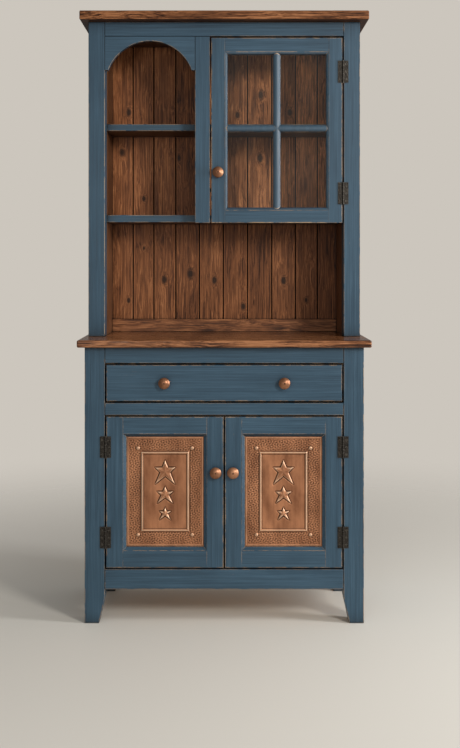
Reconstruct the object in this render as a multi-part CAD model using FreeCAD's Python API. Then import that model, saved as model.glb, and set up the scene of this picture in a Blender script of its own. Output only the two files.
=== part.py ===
import FreeCAD, Part
import math
import os

Vector = FreeCAD.Vector

# All sizes are in millimetres. X runs to the right, Y to the back and Z up.
# The origin lies on the floor, under the middle of the counter.

# Base cupboard, plan
base_width = 870.0
base_depth = 390.0
post_width = 63.0
front_post_depth = 50.0
rear_post_depth = 50.0
foot_width = 45.0
foot_taper_height = 82.0

# Base cupboard, heights from the floor up
leg_height = 106.0
bottom_rail_height = 63.0
door_opening_height = 479.0
mid_rail_height = 39.0
drawer_opening_height = 123.0
top_rail_height = 50.0
counter_thickness = 23.0

# Counter overhangs
counter_side_overhang = 22.0
counter_front_overhang = 25.0
counter_back_overhang = 25.0
counter_edge_radius = 5.0

# Frame joinery, shared by the base and the hutch
rail_thickness = 22.0
side_rail_setback = 4.0
side_top_rail_height = 60.0
tenon_length = 18.0
tenon_thickness = 8.0
tenon_shoulder = 8.0
panel_thickness = 8.0
panel_groove = 8.0
edge_ease = 1.2

# Inside the base cupboard
floor_thickness = 16.0
inner_shelf_thickness = 16.0
inner_shelf_height = 231.0
shelf_side_gap = 2.0
cleat_thickness = 15.0
cleat_height = 20.0
back_panel_lap = 12.0

# Drawer and what it runs on
drawer_reveal = 4.5
drawer_front_thickness = 20.0
drawer_side_thickness = 12.0
drawer_back_thickness = 12.0
drawer_bottom_thickness = 6.0
drawer_groove = 6.0
drawer_bottom_lift = 7.5
drawer_length = 340.0
drawer_side_height = 105.6
drawer_back_drop = 3.0
running_gap = 0.4
guide_gap = 0.5
runner_reach = 30.0
runner_height = 20.0
guide_width = 20.0
guide_height = 20.0
kicker_gap = 2.0
kicker_height = 25.0
stop_width = 20.0
stop_length = 20.0
stop_height = 52.0
stop_inset = 72.0
dovetail_count = 3
dovetail_length = 13.0
dovetail_width = 17.0
dovetail_slope = 1.0 / 6.0

# Lower doors
door_reveal = 4.0
door_bottom_reveal = 3.5
door_thickness = 20.0
lower_stile_flat = 52.5
lower_rail_flat = 54.0
bevel_width = 10.0
bevel_depth = 9.0
panel_recess = 12.0
rebate_width = 8.0
door_tenon_length = 26.0
door_tenon_thickness = 7.0
door_tenon_shoulder = 8.0
copper_thickness = 1.0
backing_thickness = 4.0
door_stop_drop = 18.0
door_stop_lap = 12.0
door_stop_thickness = 14.0

# Relief on the copper panels
relief_frame_width = 149.0
relief_frame_height = 248.0
relief_bead_width = 7.0
relief_bead_height = 2.6
corner_boss_radius = 6.0
corner_boss_height = 2.6
corner_boss_outset_x = 10.0
corner_boss_outset_z = 11.5
star_height_in_relief = 4.5

# Each star: width, height and how far its middle lies above the middle of the panel
star_sizes = ((64.0, 75.0, 57.0), (50.0, 53.0, -13.0), (36.0, 39.0, -71.0))

# Right half of a star's outline and its peak, as shares of its width and height
star_half_outline = (
    (0.0, 0.54), (0.148, 0.25), (0.5, 0.245), (0.252, 0.03), (0.485, -0.46), (0.0, -0.13),
)
star_peak_share = 0.06

# Hutch, plan
hutch_side_step = 6.0
hutch_depth = 265.0
hutch_post_width = 53.0
hutch_front_post_depth = 64.0
hutch_rear_post_depth = 40.0
lining_thickness = 12.0
back_board_thickness = 12.0
cubby_width = 293.0
mid_stile_width = 48.5
divider_thickness = 18.0
hutch_rail_thickness = 20.0
hutch_bottom_side_rail_height = 60.0
hutch_top_side_rail_height = 70.0

# Hutch, heights from the counter up
niche_height = 373.0
bottom_shelf_thickness = 24.0
lower_bay_height = 278.0
mid_shelf_thickness = 22.0
upper_bay_height = 290.0
ceiling_thickness = 16.0
roof_space = 19.0
top_board_thickness = 29.0
hutch_top_rail_height = 47.0
door_drop = 4.0

# Top board overhangs
top_side_overhang = 25.0
top_front_overhang = 40.0
top_edge_radius = 4.0

# Hutch details
shelf_housing = 5.0
divider_housing = 4.0
shelf_edge_thickness = 8.0
back_rail_height = 43.0
back_rail_thickness = 14.0
arch_board_height = 110.0
arch_board_thickness = 18.0
arch_ear = 11.0
arch_rise = 95.0
seam_chamfer = 0.8

# Back boards, from left to right, as shares of the width that they fill
back_board_shares = (84.0, 72.0, 76.0, 82.0, 83.0, 84.0, 84.0, 82.0, 76.0, 77.0)
board_gap = 0.8
board_bevel = 2.4
tongue_length = 6.0
tongue_thickness = 4.0
tongue_play = 0.2

# Glazed door
glazed_stile_flat = 44.0
glazed_top_rail_flat = 46.0
glazed_bottom_rail_flat = 41.0
bead_width = 9.5
bead_depth = 8.0
bead_quirk = 1.0
glass_recess = 10.0
glass_thickness = 3.0
glass_play = 1.0
bar_width = 25.0
bar_nose = 1.5
bar_stem = 9.0
cross_bar_lift = 9.0
glazing_bead_width = 7.0

# Knobs
knob_radius = 18.0
knob_projection = 24.0
knob_neck_radius = 6.5
knob_foot_radius = 9.0
knob_dimple_radius = 2.2
knob_dimple_depth = 0.9
knob_screw_radius = 2.0
knob_screw_bite = 12.0
knob_screw_head_radius = 4.5
knob_screw_head_height = 2.5
drawer_knob_offset = 187.0
lower_knob_inset = 25.0
lower_knob_lift = 62.0
glazed_knob_inset = 22.0
glazed_knob_height = 164.0

# Outline of a knob: distances out of the face as shares of its projection, and radii
# as shares of the head's
knob_neck_share = 0.135
knob_waist_share = 0.3
knob_flare_share = 0.465
knob_under_rim_share = 0.5766
knob_rim_share = 0.62
knob_rim_top_share = 0.682
knob_under_rim_radius_share = 0.94
knob_rim_top_radius_share = 0.97
knob_flare_widening = 1.3

# Hinges, screwed to the faces
hinge_leaf_reach = 17.0
hinge_leaf_thickness = 2.0
hinge_leaf_chamfer = 0.5
knuckle_radius = 3.2
knuckle_count = 5
knuckle_gap = 0.3
notch_gap = 0.5
hinge_pin_radius = 1.4
hinge_pin_head_radius = 2.6
hinge_pin_head_end_radius = 1.56
hinge_pin_head_height = 1.6
hinge_clearance = 0.05
lower_hinge_height = 66.0
upper_hinge_height = 71.0
lower_hinge_inset = 95.0
glazed_hinge_top_inset = 111.0
glazed_hinge_bottom_inset = 96.0

# Screws
screw_head_radius = 3.1
screw_head_depth = 1.8
screw_shank_radius = 1.5
screw_clearance = 0.05
screw_slot_width = 0.8
screw_slot_depth = 0.6
hinge_screw_length = 15.0
hinge_screw_margin = 11.0
counter_screw_length = 38.0
counter_screw_count = 3
counter_screw_margin = 40.0
strap_screw_length = 22.0

# Magnet catches and their strike plates
strike_thickness = 1.2
strike_width = 30.0
strike_height = 14.0
strike_inset = 18.0
catch_gap = 0.3
catch_depth = 14.0
catch_height = 12.0
glazed_catch_drop = 50.0
glazed_catch_reach = 46.0

# Straps that tie the hutch to the counter
strap_width = 18.0
strap_thickness = 2.0
strap_above = 44.0
strap_below = 19.0

# Heights of a strap's two upper screws, as shares of its length above the counter
strap_screw_shares = (0.4, 0.8)

# Planes that follow from the sizes above
outer_x = base_width / 2
inner_x = outer_x - post_width
counter_depth = counter_front_overhang + base_depth + counter_back_overhang
counter_x = outer_x + counter_side_overhang
counter_front = -counter_depth / 2
counter_back = counter_depth / 2
base_front = counter_front + counter_front_overhang
base_back = base_front + base_depth
front_post_back = base_front + front_post_depth
rear_post_front = base_back - rear_post_depth
rail_back = base_front + rail_thickness
back_rail_y1 = base_back - panel_thickness
back_rail_y0 = back_rail_y1 - rail_thickness
side_rail_x1 = outer_x - side_rail_setback
side_rail_x0 = side_rail_x1 - rail_thickness
side_panel_x0 = (side_rail_x0 + side_rail_x1 - panel_thickness) / 2
side_panel_x1 = side_panel_x0 + panel_thickness

bottom_rail_top = leg_height + bottom_rail_height
door_opening_top = bottom_rail_top + door_opening_height
mid_rail_top = door_opening_top + mid_rail_height
drawer_opening_top = mid_rail_top + drawer_opening_height
base_top = drawer_opening_top + top_rail_height
counter_top_z = base_top + counter_thickness
side_top_rail_z = base_top - side_top_rail_height
inner_shelf_z = bottom_rail_top + inner_shelf_height

hutch_x = outer_x + hutch_side_step
hutch_inner_x = hutch_x - hutch_post_width
hutch_lining_x = hutch_inner_x + lining_thickness
hutch_back = counter_back
hutch_front = hutch_back - hutch_depth
hutch_post_back = hutch_front + hutch_front_post_depth
hutch_rear_post_front = hutch_back - hutch_rear_post_depth
back_board_face = hutch_back - back_board_thickness
hutch_rail_back = hutch_front + hutch_rail_thickness
hutch_side_rail_x1 = hutch_x - side_rail_setback
hutch_side_rail_x0 = hutch_side_rail_x1 - rail_thickness
hutch_panel_x0 = (hutch_side_rail_x0 + hutch_side_rail_x1 - panel_thickness) / 2
hutch_panel_x1 = hutch_panel_x0 + panel_thickness

bottom_shelf_z = counter_top_z + niche_height
bottom_shelf_top = bottom_shelf_z + bottom_shelf_thickness
mid_shelf_z = bottom_shelf_top + lower_bay_height
mid_shelf_top = mid_shelf_z + mid_shelf_thickness
ceiling_z = mid_shelf_top + upper_bay_height
ceiling_top = ceiling_z + ceiling_thickness
hutch_top = ceiling_top + roof_space
hutch_opening_top = hutch_top - hutch_top_rail_height
hutch_frame_bottom = bottom_shelf_z - door_drop

mid_stile_x0 = -hutch_inner_x + cubby_width
mid_stile_x1 = mid_stile_x0 + mid_stile_width
divider_x0 = (mid_stile_x0 + mid_stile_x1 - divider_thickness) / 2
divider_x1 = divider_x0 + divider_thickness

drawer_x = inner_x - drawer_reveal
drawer_side_x = drawer_x - drawer_side_thickness
drawer_front_z0 = mid_rail_top + drawer_reveal
drawer_front_z1 = drawer_opening_top - drawer_reveal
drawer_face_back = base_front + drawer_front_thickness
drawer_back_end = base_front + drawer_length
drawer_side_z0 = mid_rail_top + running_gap
drawer_side_z1 = drawer_side_z0 + drawer_side_height
drawer_bottom_z0 = drawer_front_z0 + drawer_bottom_lift
drawer_bottom_z1 = drawer_bottom_z0 + drawer_bottom_thickness

lower_door_x0 = -inner_x + door_reveal
lower_door_x1 = -door_reveal / 2
lower_door_z0 = bottom_rail_top + door_bottom_reveal
lower_door_z1 = door_opening_top - door_reveal
lower_door_back = base_front + door_thickness
lower_axis_x = inner_x - door_reveal / 2
lower_axis_y = base_front - knuckle_radius
lower_knob_x = lower_door_x1 - lower_knob_inset
lower_knob_z = (lower_door_z0 + lower_door_z1) / 2 + lower_knob_lift

glazed_x0 = mid_stile_x1 + door_reveal
glazed_x1 = hutch_inner_x - door_reveal
glazed_z0 = hutch_frame_bottom
glazed_z1 = hutch_opening_top - door_reveal
glazed_back = hutch_front + door_thickness
glazed_axis_x = hutch_inner_x - door_reveal / 2
glazed_axis_y = hutch_front - knuckle_radius
glazed_knob_x = glazed_x0 + glazed_knob_inset
glazed_knob_z = glazed_z0 + glazed_knob_height

strap_x = (hutch_lining_x + hutch_x) / 2
towards_back = Vector(0, 1, 0)
towards_front = Vector(0, -1, 0)
upwards = Vector(0, 0, 1)


def box(x0, x1, y0, y1, z0, z1):
    """A plain box between two corners."""
    return Part.makeBox(x1 - x0, y1 - y0, z1 - z0, Vector(x0, y0, z0))


def board(x0, x1, y0, y1, z0, z1):
    """A planed board, every edge eased."""
    blank = box(x0, x1, y0, y1, z0, z1)
    return blank.makeChamfer(edge_ease, blank.Edges)


def mirrored(shape):
    """The same shape on the other side of the middle plane."""
    return shape.mirror(Vector(0, 0, 0), Vector(1, 0, 0))


def both(shape):
    """A shape and its mirror image."""
    return [shape, mirrored(shape)]


def solids_of(shapes):
    """Every solid in a list of shapes."""
    return [solid for shape in shapes for solid in shape.Solids]


def save(name, shapes):
    """Write one sub-part, each of its pieces a separate solid."""
    solids = solids_of(shapes)
    if len(solids) == 1:
        solids[0].exportStep("parts/" + name + ".step")
    else:
        Part.makeCompound(solids).exportStep("parts/" + name + ".step")


def outline_face(start, steps, place):
    """A flat face. A step of 2 numbers is a line's end, one of 4 an arc's middle and end."""
    edges = []
    here = start
    for step in steps + [start]:
        there = step[-2:]
        if len(step) == 4:
            arc = Part.Arc(place(*here), place(*step[:2]), place(*there))
            edges.append(arc.toShape())
        else:
            edges.append(Part.LineSegment(place(*here), place(*there)).toShape())
        here = there
    return Part.Face(Part.Wire(edges))


def turned(start, steps):
    """A solid of revolution about the Y axis, from radii and distances out of the face."""
    profile = outline_face(start, steps, lambda radius, out: Vector(radius, -out, 0))
    return profile.revolve(Vector(0, 0, 0), Vector(0, 1, 0), 360)


def edges_in_plane(shape, axis, value):
    """The edges of a shape that lie in one plane across X, Y or Z."""
    found = []
    for edge in shape.Edges:
        if all(abs(getattr(vertex.Point, axis) - value) < 1e-6 for vertex in edge.Vertexes):
            found.append(edge)
    return found


# Screws and knobs

def screw(at, direction, length):
    """A countersunk wood screw, its head flush at the point given."""
    head = Part.makeCone(screw_head_radius, screw_shank_radius, screw_head_depth, at, direction)
    shank = Part.makeCylinder(screw_shank_radius, length, at, direction)
    slot = box(
        -screw_head_radius, screw_head_radius,
        -screw_slot_width / 2, screw_slot_width / 2,
        -screw_slot_depth, screw_slot_depth,
    )
    slot.Placement = FreeCAD.Placement(at, FreeCAD.Rotation(upwards, direction))
    return head.fuse(shank).cut(slot)


def screw_hole(at, direction, length):
    """The hole that a screw sits in, a little larger all round."""
    head = Part.makeCone(
        screw_head_radius + screw_clearance,
        screw_shank_radius + screw_clearance,
        screw_head_depth,
        at,
        direction,
    )
    shank_radius = screw_shank_radius + screw_clearance
    shank = Part.makeCylinder(shank_radius, length + screw_clearance, at, direction)
    return head.fuse(shank)


def ball_over(radius, rise):
    """Radius of the ball whose cap has this radius and rise."""
    return (radius ** 2 + rise ** 2) / (2 * rise)


def knob(x, face_y, z):
    """A turned mushroom knob with a small dimple in the middle of its head."""
    rim_top = knob_projection * knob_rim_top_share
    rim_radius = knob_radius * knob_rim_top_radius_share
    dome = ball_over(rim_radius, knob_projection - rim_top)
    half = rim_radius / 2
    solid = turned(
        (0.0, 0.0),
        [
            (knob_foot_radius, 0.0),
            (knob_neck_radius, knob_projection * knob_neck_share,
             knob_neck_radius, knob_projection * knob_waist_share),
            (knob_neck_radius * knob_flare_widening, knob_projection * knob_flare_share,
             knob_radius * knob_under_rim_radius_share, knob_projection * knob_under_rim_share),
            (knob_radius, knob_projection * knob_rim_share, rim_radius, rim_top),
            (half, knob_projection - dome + math.sqrt(dome ** 2 - half ** 2),
             0.0, knob_projection),
        ],
    )
    bore = Part.makeCylinder(
        knob_screw_radius + screw_clearance, knob_screw_bite + screw_clearance,
        Vector(0, 0, 0), towards_front,
    )
    dimple = ball_over(knob_dimple_radius, knob_dimple_depth)
    hollow = Part.makeSphere(dimple, Vector(0, knob_dimple_depth - knob_projection - dimple, 0))
    solid = solid.cut([bore, hollow])
    solid.translate(Vector(x, face_y, z))
    return solid


def knob_screw(x, face_y, back_y, z):
    """The machine screw that holds a knob from the back of its board."""
    length = back_y - face_y + knob_screw_bite
    shank = Part.makeCylinder(knob_screw_radius, length, Vector(x, back_y, z), towards_front)
    head = Part.makeCylinder(
        knob_screw_head_radius, knob_screw_head_height, Vector(x, back_y, z), towards_back
    )
    return shank.fuse(head)


def knob_hole(x, face_y, back_y, z):
    """The hole through a board for a knob's screw."""
    radius = knob_screw_radius + screw_clearance
    return Part.makeCylinder(radius, back_y - face_y, Vector(x, face_y, z), towards_back)


# Hinges

def knuckle_spans(height):
    """Bottom and top of each knuckle, counted from the hinge's lower end."""
    pitch = height / knuckle_count
    return [
        (index * pitch + knuckle_gap / 2, (index + 1) * pitch - knuckle_gap / 2)
        for index in range(knuckle_count)
    ]


def hinge_leaf(axis_x, face_y, z_middle, height, side, first_knuckle):
    """One leaf on a front face, reaching to the side given, with every second knuckle."""
    bottom = z_middle - height / 2
    plate_start = knuckle_radius + notch_gap
    leaf = box(plate_start, hinge_leaf_reach, -hinge_leaf_thickness, 0, 0, height)
    rounded = edges_in_plane(leaf, "x", hinge_leaf_reach)
    leaf = leaf.makeChamfer(hinge_leaf_chamfer, rounded)
    for z0, z1 in knuckle_spans(height)[first_knuckle::2]:
        tab = box(0, plate_start + notch_gap, -hinge_leaf_thickness, 0, z0, z1)
        barrel = Part.makeCylinder(knuckle_radius, z1 - z0, Vector(0, -knuckle_radius, z0))
        leaf = leaf.fuse(tab).fuse(barrel)
    bore = Part.makeCylinder(
        hinge_pin_radius + hinge_clearance, height, Vector(0, -knuckle_radius, 0)
    )
    leaf = leaf.cut(bore)
    for z in hinge_screw_heights(height):
        at = Vector(hinge_screw_x(), -hinge_leaf_thickness, z)
        leaf = leaf.cut(screw_hole(at, towards_back, hinge_screw_length))
    if side < 0:
        leaf = mirrored(leaf)
    leaf.translate(Vector(axis_x, face_y, bottom))
    return leaf


def hinge_screw_x():
    """Distance of a leaf's screws from the hinge axis."""
    return (knuckle_radius + notch_gap + hinge_leaf_reach) / 2


def hinge_screw_heights(height):
    """Heights of a leaf's three screws above the hinge's lower end."""
    return (hinge_screw_margin, height / 2, height - hinge_screw_margin)


def hinge_pin(axis_x, face_y, z_middle, height):
    """A hinge pin with a low head at each end."""
    bottom = Vector(axis_x, face_y - knuckle_radius, z_middle - height / 2)
    top = bottom + Vector(0, 0, height)
    shaft = Part.makeCylinder(hinge_pin_radius, height, bottom)
    lower_head = Part.makeCone(
        hinge_pin_head_end_radius, hinge_pin_head_radius, hinge_pin_head_height,
        bottom - Vector(0, 0, hinge_pin_head_height),
    )
    upper_head = Part.makeCone(
        hinge_pin_head_radius, hinge_pin_head_end_radius, hinge_pin_head_height, top
    )
    return shaft.fuse(lower_head).fuse(upper_head)


def hinge_screw_places(axis_x, face_y, z_middle, height, side):
    """Where a leaf's screws enter."""
    bottom = z_middle - height / 2
    return [
        Vector(axis_x + side * hinge_screw_x(), face_y - hinge_leaf_thickness, bottom + z)
        for z in hinge_screw_heights(height)
    ]


lower_hinge_heights = (lower_door_z0 + lower_hinge_inset, lower_door_z1 - lower_hinge_inset)
glazed_hinge_heights = (
    glazed_z0 + glazed_hinge_bottom_inset,
    glazed_z1 - glazed_hinge_top_inset,
)

# Each hinge: axis, face, height of its middle, length, and the side that its door lies on
left_hinges = [
    (-lower_axis_x, base_front, z, lower_hinge_height, 1) for z in lower_hinge_heights
]
right_hinges = [
    (lower_axis_x, base_front, z, lower_hinge_height, -1) for z in lower_hinge_heights
]
glazed_hinges = [
    (glazed_axis_x, hutch_front, z, upper_hinge_height, -1) for z in glazed_hinge_heights
]
all_hinges = left_hinges + right_hinges + glazed_hinges


def door_screw_places(hinges):
    """Where the screws of the moving leaves enter."""
    return [place for hinge in hinges for place in hinge_screw_places(*hinge)]


def case_screw_places(hinges):
    """Where the screws of the fixed leaves enter."""
    places = []
    for axis_x, face_y, z, height, side in hinges:
        places += hinge_screw_places(axis_x, face_y, z, height, -side)
    return places


def drilled(shape, places, direction, length):
    """A shape with a screw hole at each place."""
    holes = [screw_hole(place, direction, length) for place in places]
    return shape.cut(holes)


# Rails, posts and panels of the two cases

def cross_tenons(x, y0, y1, z0, z1):
    """The tenons at both ends of a rail that runs left to right."""
    middle = (y0 + y1) / 2
    tenon = box(
        x, x + tenon_length,
        middle - tenon_thickness / 2, middle + tenon_thickness / 2,
        z0 + tenon_shoulder, z1 - tenon_shoulder,
    )
    return both(tenon)


def depth_tenons(y0, y1, x0, x1, z0, z1):
    """The tenons at both ends of a rail that runs front to back."""
    middle = (x0 + x1) / 2
    left = middle - tenon_thickness / 2
    right = middle + tenon_thickness / 2
    low = z0 + tenon_shoulder
    high = z1 - tenon_shoulder
    return [
        box(left, right, y0 - tenon_length, y0, low, high),
        box(left, right, y1, y1 + tenon_length, low, high),
    ]


def joined(shape, additions):
    """One solid from a board and the tenons on it."""
    return shape.multiFuse(additions).removeSplitter()


front_rail_spans = (
    (leg_height, bottom_rail_top),
    (door_opening_top, mid_rail_top),
    (drawer_opening_top, base_top),
)
back_rail_spans = (
    (leg_height, bottom_rail_top),
    (door_opening_top, mid_rail_top),
    (side_top_rail_z, base_top),
)
side_rail_spans = ((leg_height, bottom_rail_top), (side_top_rail_z, base_top))
hutch_side_rail_spans = (
    (counter_top_z, counter_top_z + hutch_bottom_side_rail_height),
    (hutch_top - hutch_top_side_rail_height, hutch_top),
)


def front_rail_tenons():
    return [
        tenon
        for z0, z1 in front_rail_spans
        for tenon in cross_tenons(inner_x, base_front, rail_back, z0, z1)
    ]


def back_rail_tenons():
    return [
        tenon
        for z0, z1 in back_rail_spans
        for tenon in cross_tenons(inner_x, back_rail_y0, back_rail_y1, z0, z1)
    ]


def side_rail_tenons():
    return [
        tenon
        for z0, z1 in side_rail_spans
        for tenon in depth_tenons(
            front_post_back, rear_post_front, side_rail_x0, side_rail_x1, z0, z1
        )
    ]


def hutch_side_rail_tenons():
    return [
        tenon
        for z0, z1 in hutch_side_rail_spans
        for tenon in depth_tenons(
            hutch_post_back, hutch_rear_post_front, hutch_side_rail_x0, hutch_side_rail_x1, z0, z1
        )
    ]


def base_side_panel():
    """The flat panel in the right side of the base, let into the frame all round."""
    return box(
        side_panel_x0, side_panel_x1,
        front_post_back - panel_groove, rear_post_front + panel_groove,
        bottom_rail_top - panel_groove, side_top_rail_z + panel_groove,
    )


def base_back_panel():
    return box(
        -inner_x - back_panel_lap, inner_x + back_panel_lap,
        back_rail_y1, base_back, leg_height, base_top,
    )


def base_front_post():
    """The right front post: square above, its foot tapered on the inner side."""
    blank = outline_face(
        (outer_x, 0.0),
        [
            (outer_x, base_top),
            (inner_x, base_top),
            (inner_x, foot_taper_height),
            (outer_x - foot_width, 0.0),
        ],
        lambda x, z: Vector(x, base_front, z),
    ).extrude(Vector(0, front_post_depth, 0))
    post = blank.makeChamfer(edge_ease, blank.Edges)
    post = post.cut(front_rail_tenons() + side_rail_tenons() + [base_side_panel()])
    return drilled(post, case_screw_places(right_hinges), towards_back, hinge_screw_length)


def base_rear_post():
    """The right rear post, rebated for the back panel."""
    post = board(inner_x, outer_x, rear_post_front, base_back, 0, base_top)
    return post.cut(
        back_rail_tenons() + side_rail_tenons() + [base_side_panel(), base_back_panel()]
    )


def base_front_rail(z0, z1):
    rail = board(-inner_x, inner_x, base_front, rail_back, z0, z1)
    return joined(rail, cross_tenons(inner_x, base_front, rail_back, z0, z1))


def base_back_rail(z0, z1):
    rail = board(-inner_x, inner_x, back_rail_y0, back_rail_y1, z0, z1)
    return joined(rail, cross_tenons(inner_x, back_rail_y0, back_rail_y1, z0, z1))


def base_side_rail(z0, z1):
    rail = board(side_rail_x0, side_rail_x1, front_post_back, rear_post_front, z0, z1)
    tenons = depth_tenons(front_post_back, rear_post_front, side_rail_x0, side_rail_x1, z0, z1)
    return joined(rail, tenons).cut(base_side_panel())


def post_blanks():
    """Plain blocks where the four base posts stand, to notch boards round them."""
    front = box(inner_x, outer_x, base_front, front_post_back, 0, base_top)
    rear = box(inner_x, outer_x, rear_post_front, base_back, 0, base_top)
    return both(front) + both(rear)


def base_floor():
    floor = box(
        -side_rail_x0, side_rail_x0, rail_back, back_rail_y0,
        bottom_rail_top - floor_thickness, bottom_rail_top,
    )
    return floor.cut(post_blanks())


def base_shelf():
    reach = side_panel_x0 - shelf_side_gap
    shelf = board(
        -reach, reach, front_post_back, back_rail_y0,
        inner_shelf_z, inner_shelf_z + inner_shelf_thickness,
    )
    return shelf.cut(post_blanks())


def base_cleats():
    """Strips that carry the floor, the shelf and the counter, and the doors' stop."""
    floor_z = bottom_rail_top - floor_thickness
    floor_cleat = box(
        side_rail_x0 - cleat_thickness, side_rail_x0, front_post_back, rear_post_front,
        floor_z - cleat_height, floor_z,
    )
    shelf_cleat = box(
        side_panel_x0 - cleat_thickness, side_panel_x0, front_post_back, rear_post_front,
        inner_shelf_z - cleat_height, inner_shelf_z,
    )
    counter_cleat = box(
        side_rail_x0 - cleat_thickness, side_rail_x0, front_post_back, rear_post_front,
        base_top - cleat_height, base_top,
    )
    counter_cleat = drilled(counter_cleat, counter_screw_places(), upwards, counter_screw_length)
    door_stop = box(
        -inner_x, inner_x, rail_back, rail_back + door_stop_thickness,
        door_opening_top - door_stop_drop, door_opening_top + door_stop_lap,
    )
    return both(floor_cleat) + both(shelf_cleat) + both(counter_cleat) + [door_stop]


def counter_screw_places():
    """Where the screws enter the right counter cleat from below."""
    first = front_post_back + counter_screw_margin
    last = rear_post_front - counter_screw_margin
    step = (last - first) / (counter_screw_count - 1)
    x = side_rail_x0 - cleat_thickness / 2
    return [
        Vector(x, first + index * step, base_top - cleat_height)
        for index in range(counter_screw_count)
    ]


# Drawer

def drawer_tails():
    """The dovetails on the front end of the right drawer side."""
    tails = []
    low = drawer_front_z0
    pitch = (drawer_side_z1 - low) / dovetail_count
    base = drawer_face_back
    tip = base - dovetail_length
    flare = dovetail_length * dovetail_slope
    for index in range(dovetail_count):
        middle = low + (index + 0.5) * pitch
        half = dovetail_width / 2
        face = outline_face(
            (base, middle - half),
            [(base, middle + half), (tip, middle + half + flare), (tip, middle - half - flare)],
            lambda y, z: Vector(drawer_side_x, y, z),
        )
        tails.append(face.extrude(Vector(drawer_side_thickness, 0, 0)))
    return tails


def drawer_bottom():
    reach = drawer_side_x + drawer_groove
    return box(
        -reach, reach, drawer_face_back - drawer_groove, drawer_back_end,
        drawer_bottom_z0, drawer_bottom_z1,
    )


def drawer_back():
    reach = drawer_side_x + drawer_groove
    y1 = drawer_back_end - drawer_bottom_thickness / 2
    return box(
        -reach, reach, y1 - drawer_back_thickness, y1,
        drawer_bottom_z1, drawer_side_z1 - drawer_back_drop,
    )


def drawer_side():
    """The right side, dovetailed to the front and grooved for the bottom and the back."""
    side = box(
        drawer_side_x, drawer_x, drawer_face_back, drawer_back_end,
        drawer_side_z0, drawer_side_z1,
    )
    side = joined(side, drawer_tails())
    return side.cut([drawer_bottom(), drawer_back()])


def drawer_front():
    front = board(
        -drawer_x, drawer_x, base_front, drawer_face_back, drawer_front_z0, drawer_front_z1
    )
    sockets = [piece for tail in drawer_tails() for piece in both(tail)]
    holes = both(knob_hole(drawer_knob_offset, base_front, drawer_face_back, drawer_knob_z()))
    return front.cut(sockets + holes + [drawer_bottom()])


def drawer_knob_z():
    return (drawer_front_z0 + drawer_front_z1) / 2


def drawer_runner():
    """The right runner: a ledge behind the mid rail, widened between the posts."""
    z0 = mid_rail_top - runner_height
    ledge = box(inner_x - runner_reach, inner_x, rail_back, back_rail_y0, z0, mid_rail_top)
    wide = box(inner_x, side_panel_x0, front_post_back, rear_post_front, z0, mid_rail_top)
    return ledge.fuse(wide).removeSplitter()


def drawer_guide():
    """The right guide, a strip on the runner that keeps the drawer straight."""
    x0 = drawer_x + guide_gap
    return box(
        x0, x0 + guide_width, front_post_back, rear_post_front,
        mid_rail_top, mid_rail_top + guide_height,
    )


def drawer_kicker():
    """The right kicker, which keeps the open drawer from tipping."""
    z0 = drawer_side_z1 + kicker_gap
    return box(inner_x - runner_reach, inner_x, rail_back, back_rail_y0, z0, z0 + kicker_height)


def drawer_stop():
    """A block behind the top rail that the drawer's back meets when it is pulled out."""
    x1 = inner_x - stop_inset
    z0 = drawer_opening_top - stop_height / 2
    return box(x1 - stop_width, x1, rail_back, rail_back + stop_length, z0, z0 + stop_height)


# Doors

def bevel_section(flat):
    """Section of a lower door's frame: flat, bevel, lip and panel rebate."""
    edge = flat + bevel_width
    return (0.0, 0.0), [
        (flat, 0.0),
        (edge, bevel_depth),
        (edge, panel_recess),
        (edge - rebate_width, panel_recess),
        (edge - rebate_width, door_thickness),
        (0.0, door_thickness),
    ]


def bead_section(flat):
    """Section of the glazed door's frame: flat, small step, rounded bead and glass rebate."""
    edge = flat + bead_width
    foot = bead_quirk + bead_depth
    slant = math.sqrt(0.5)
    return (0.0, 0.0), [
        (flat, 0.0),
        (flat, bead_quirk),
        (flat + bead_width * slant, foot - bead_depth * slant, edge, foot),
        (edge, glass_recess),
        (edge - rebate_width, glass_recess),
        (edge - rebate_width, door_thickness),
        (0.0, door_thickness),
    ]


def upright_prism(corners, y, depth):
    """A prism from corners in X and Z, swept back from one plane."""
    face = outline_face(corners[0], list(corners[1:]), lambda x, z: Vector(x, y, z))
    return face.extrude(Vector(0, depth, 0))


def mitre_waste(x, z, side, end, moulding, z_end, y):
    """What a rail and a stile lose where their mouldings meet in a mitre at x, z."""
    tip_x = x + side * 2 * moulding
    tip_z = z + end * 2 * moulding
    from_rail = upright_prism(((x, z), (tip_x, tip_z), (x, tip_z)), y, door_thickness)
    from_stile = upright_prism(
        ((x, z), (tip_x, tip_z), (tip_x, z_end), (x, z_end)), y, door_thickness
    )
    return from_rail, from_stile


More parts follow.
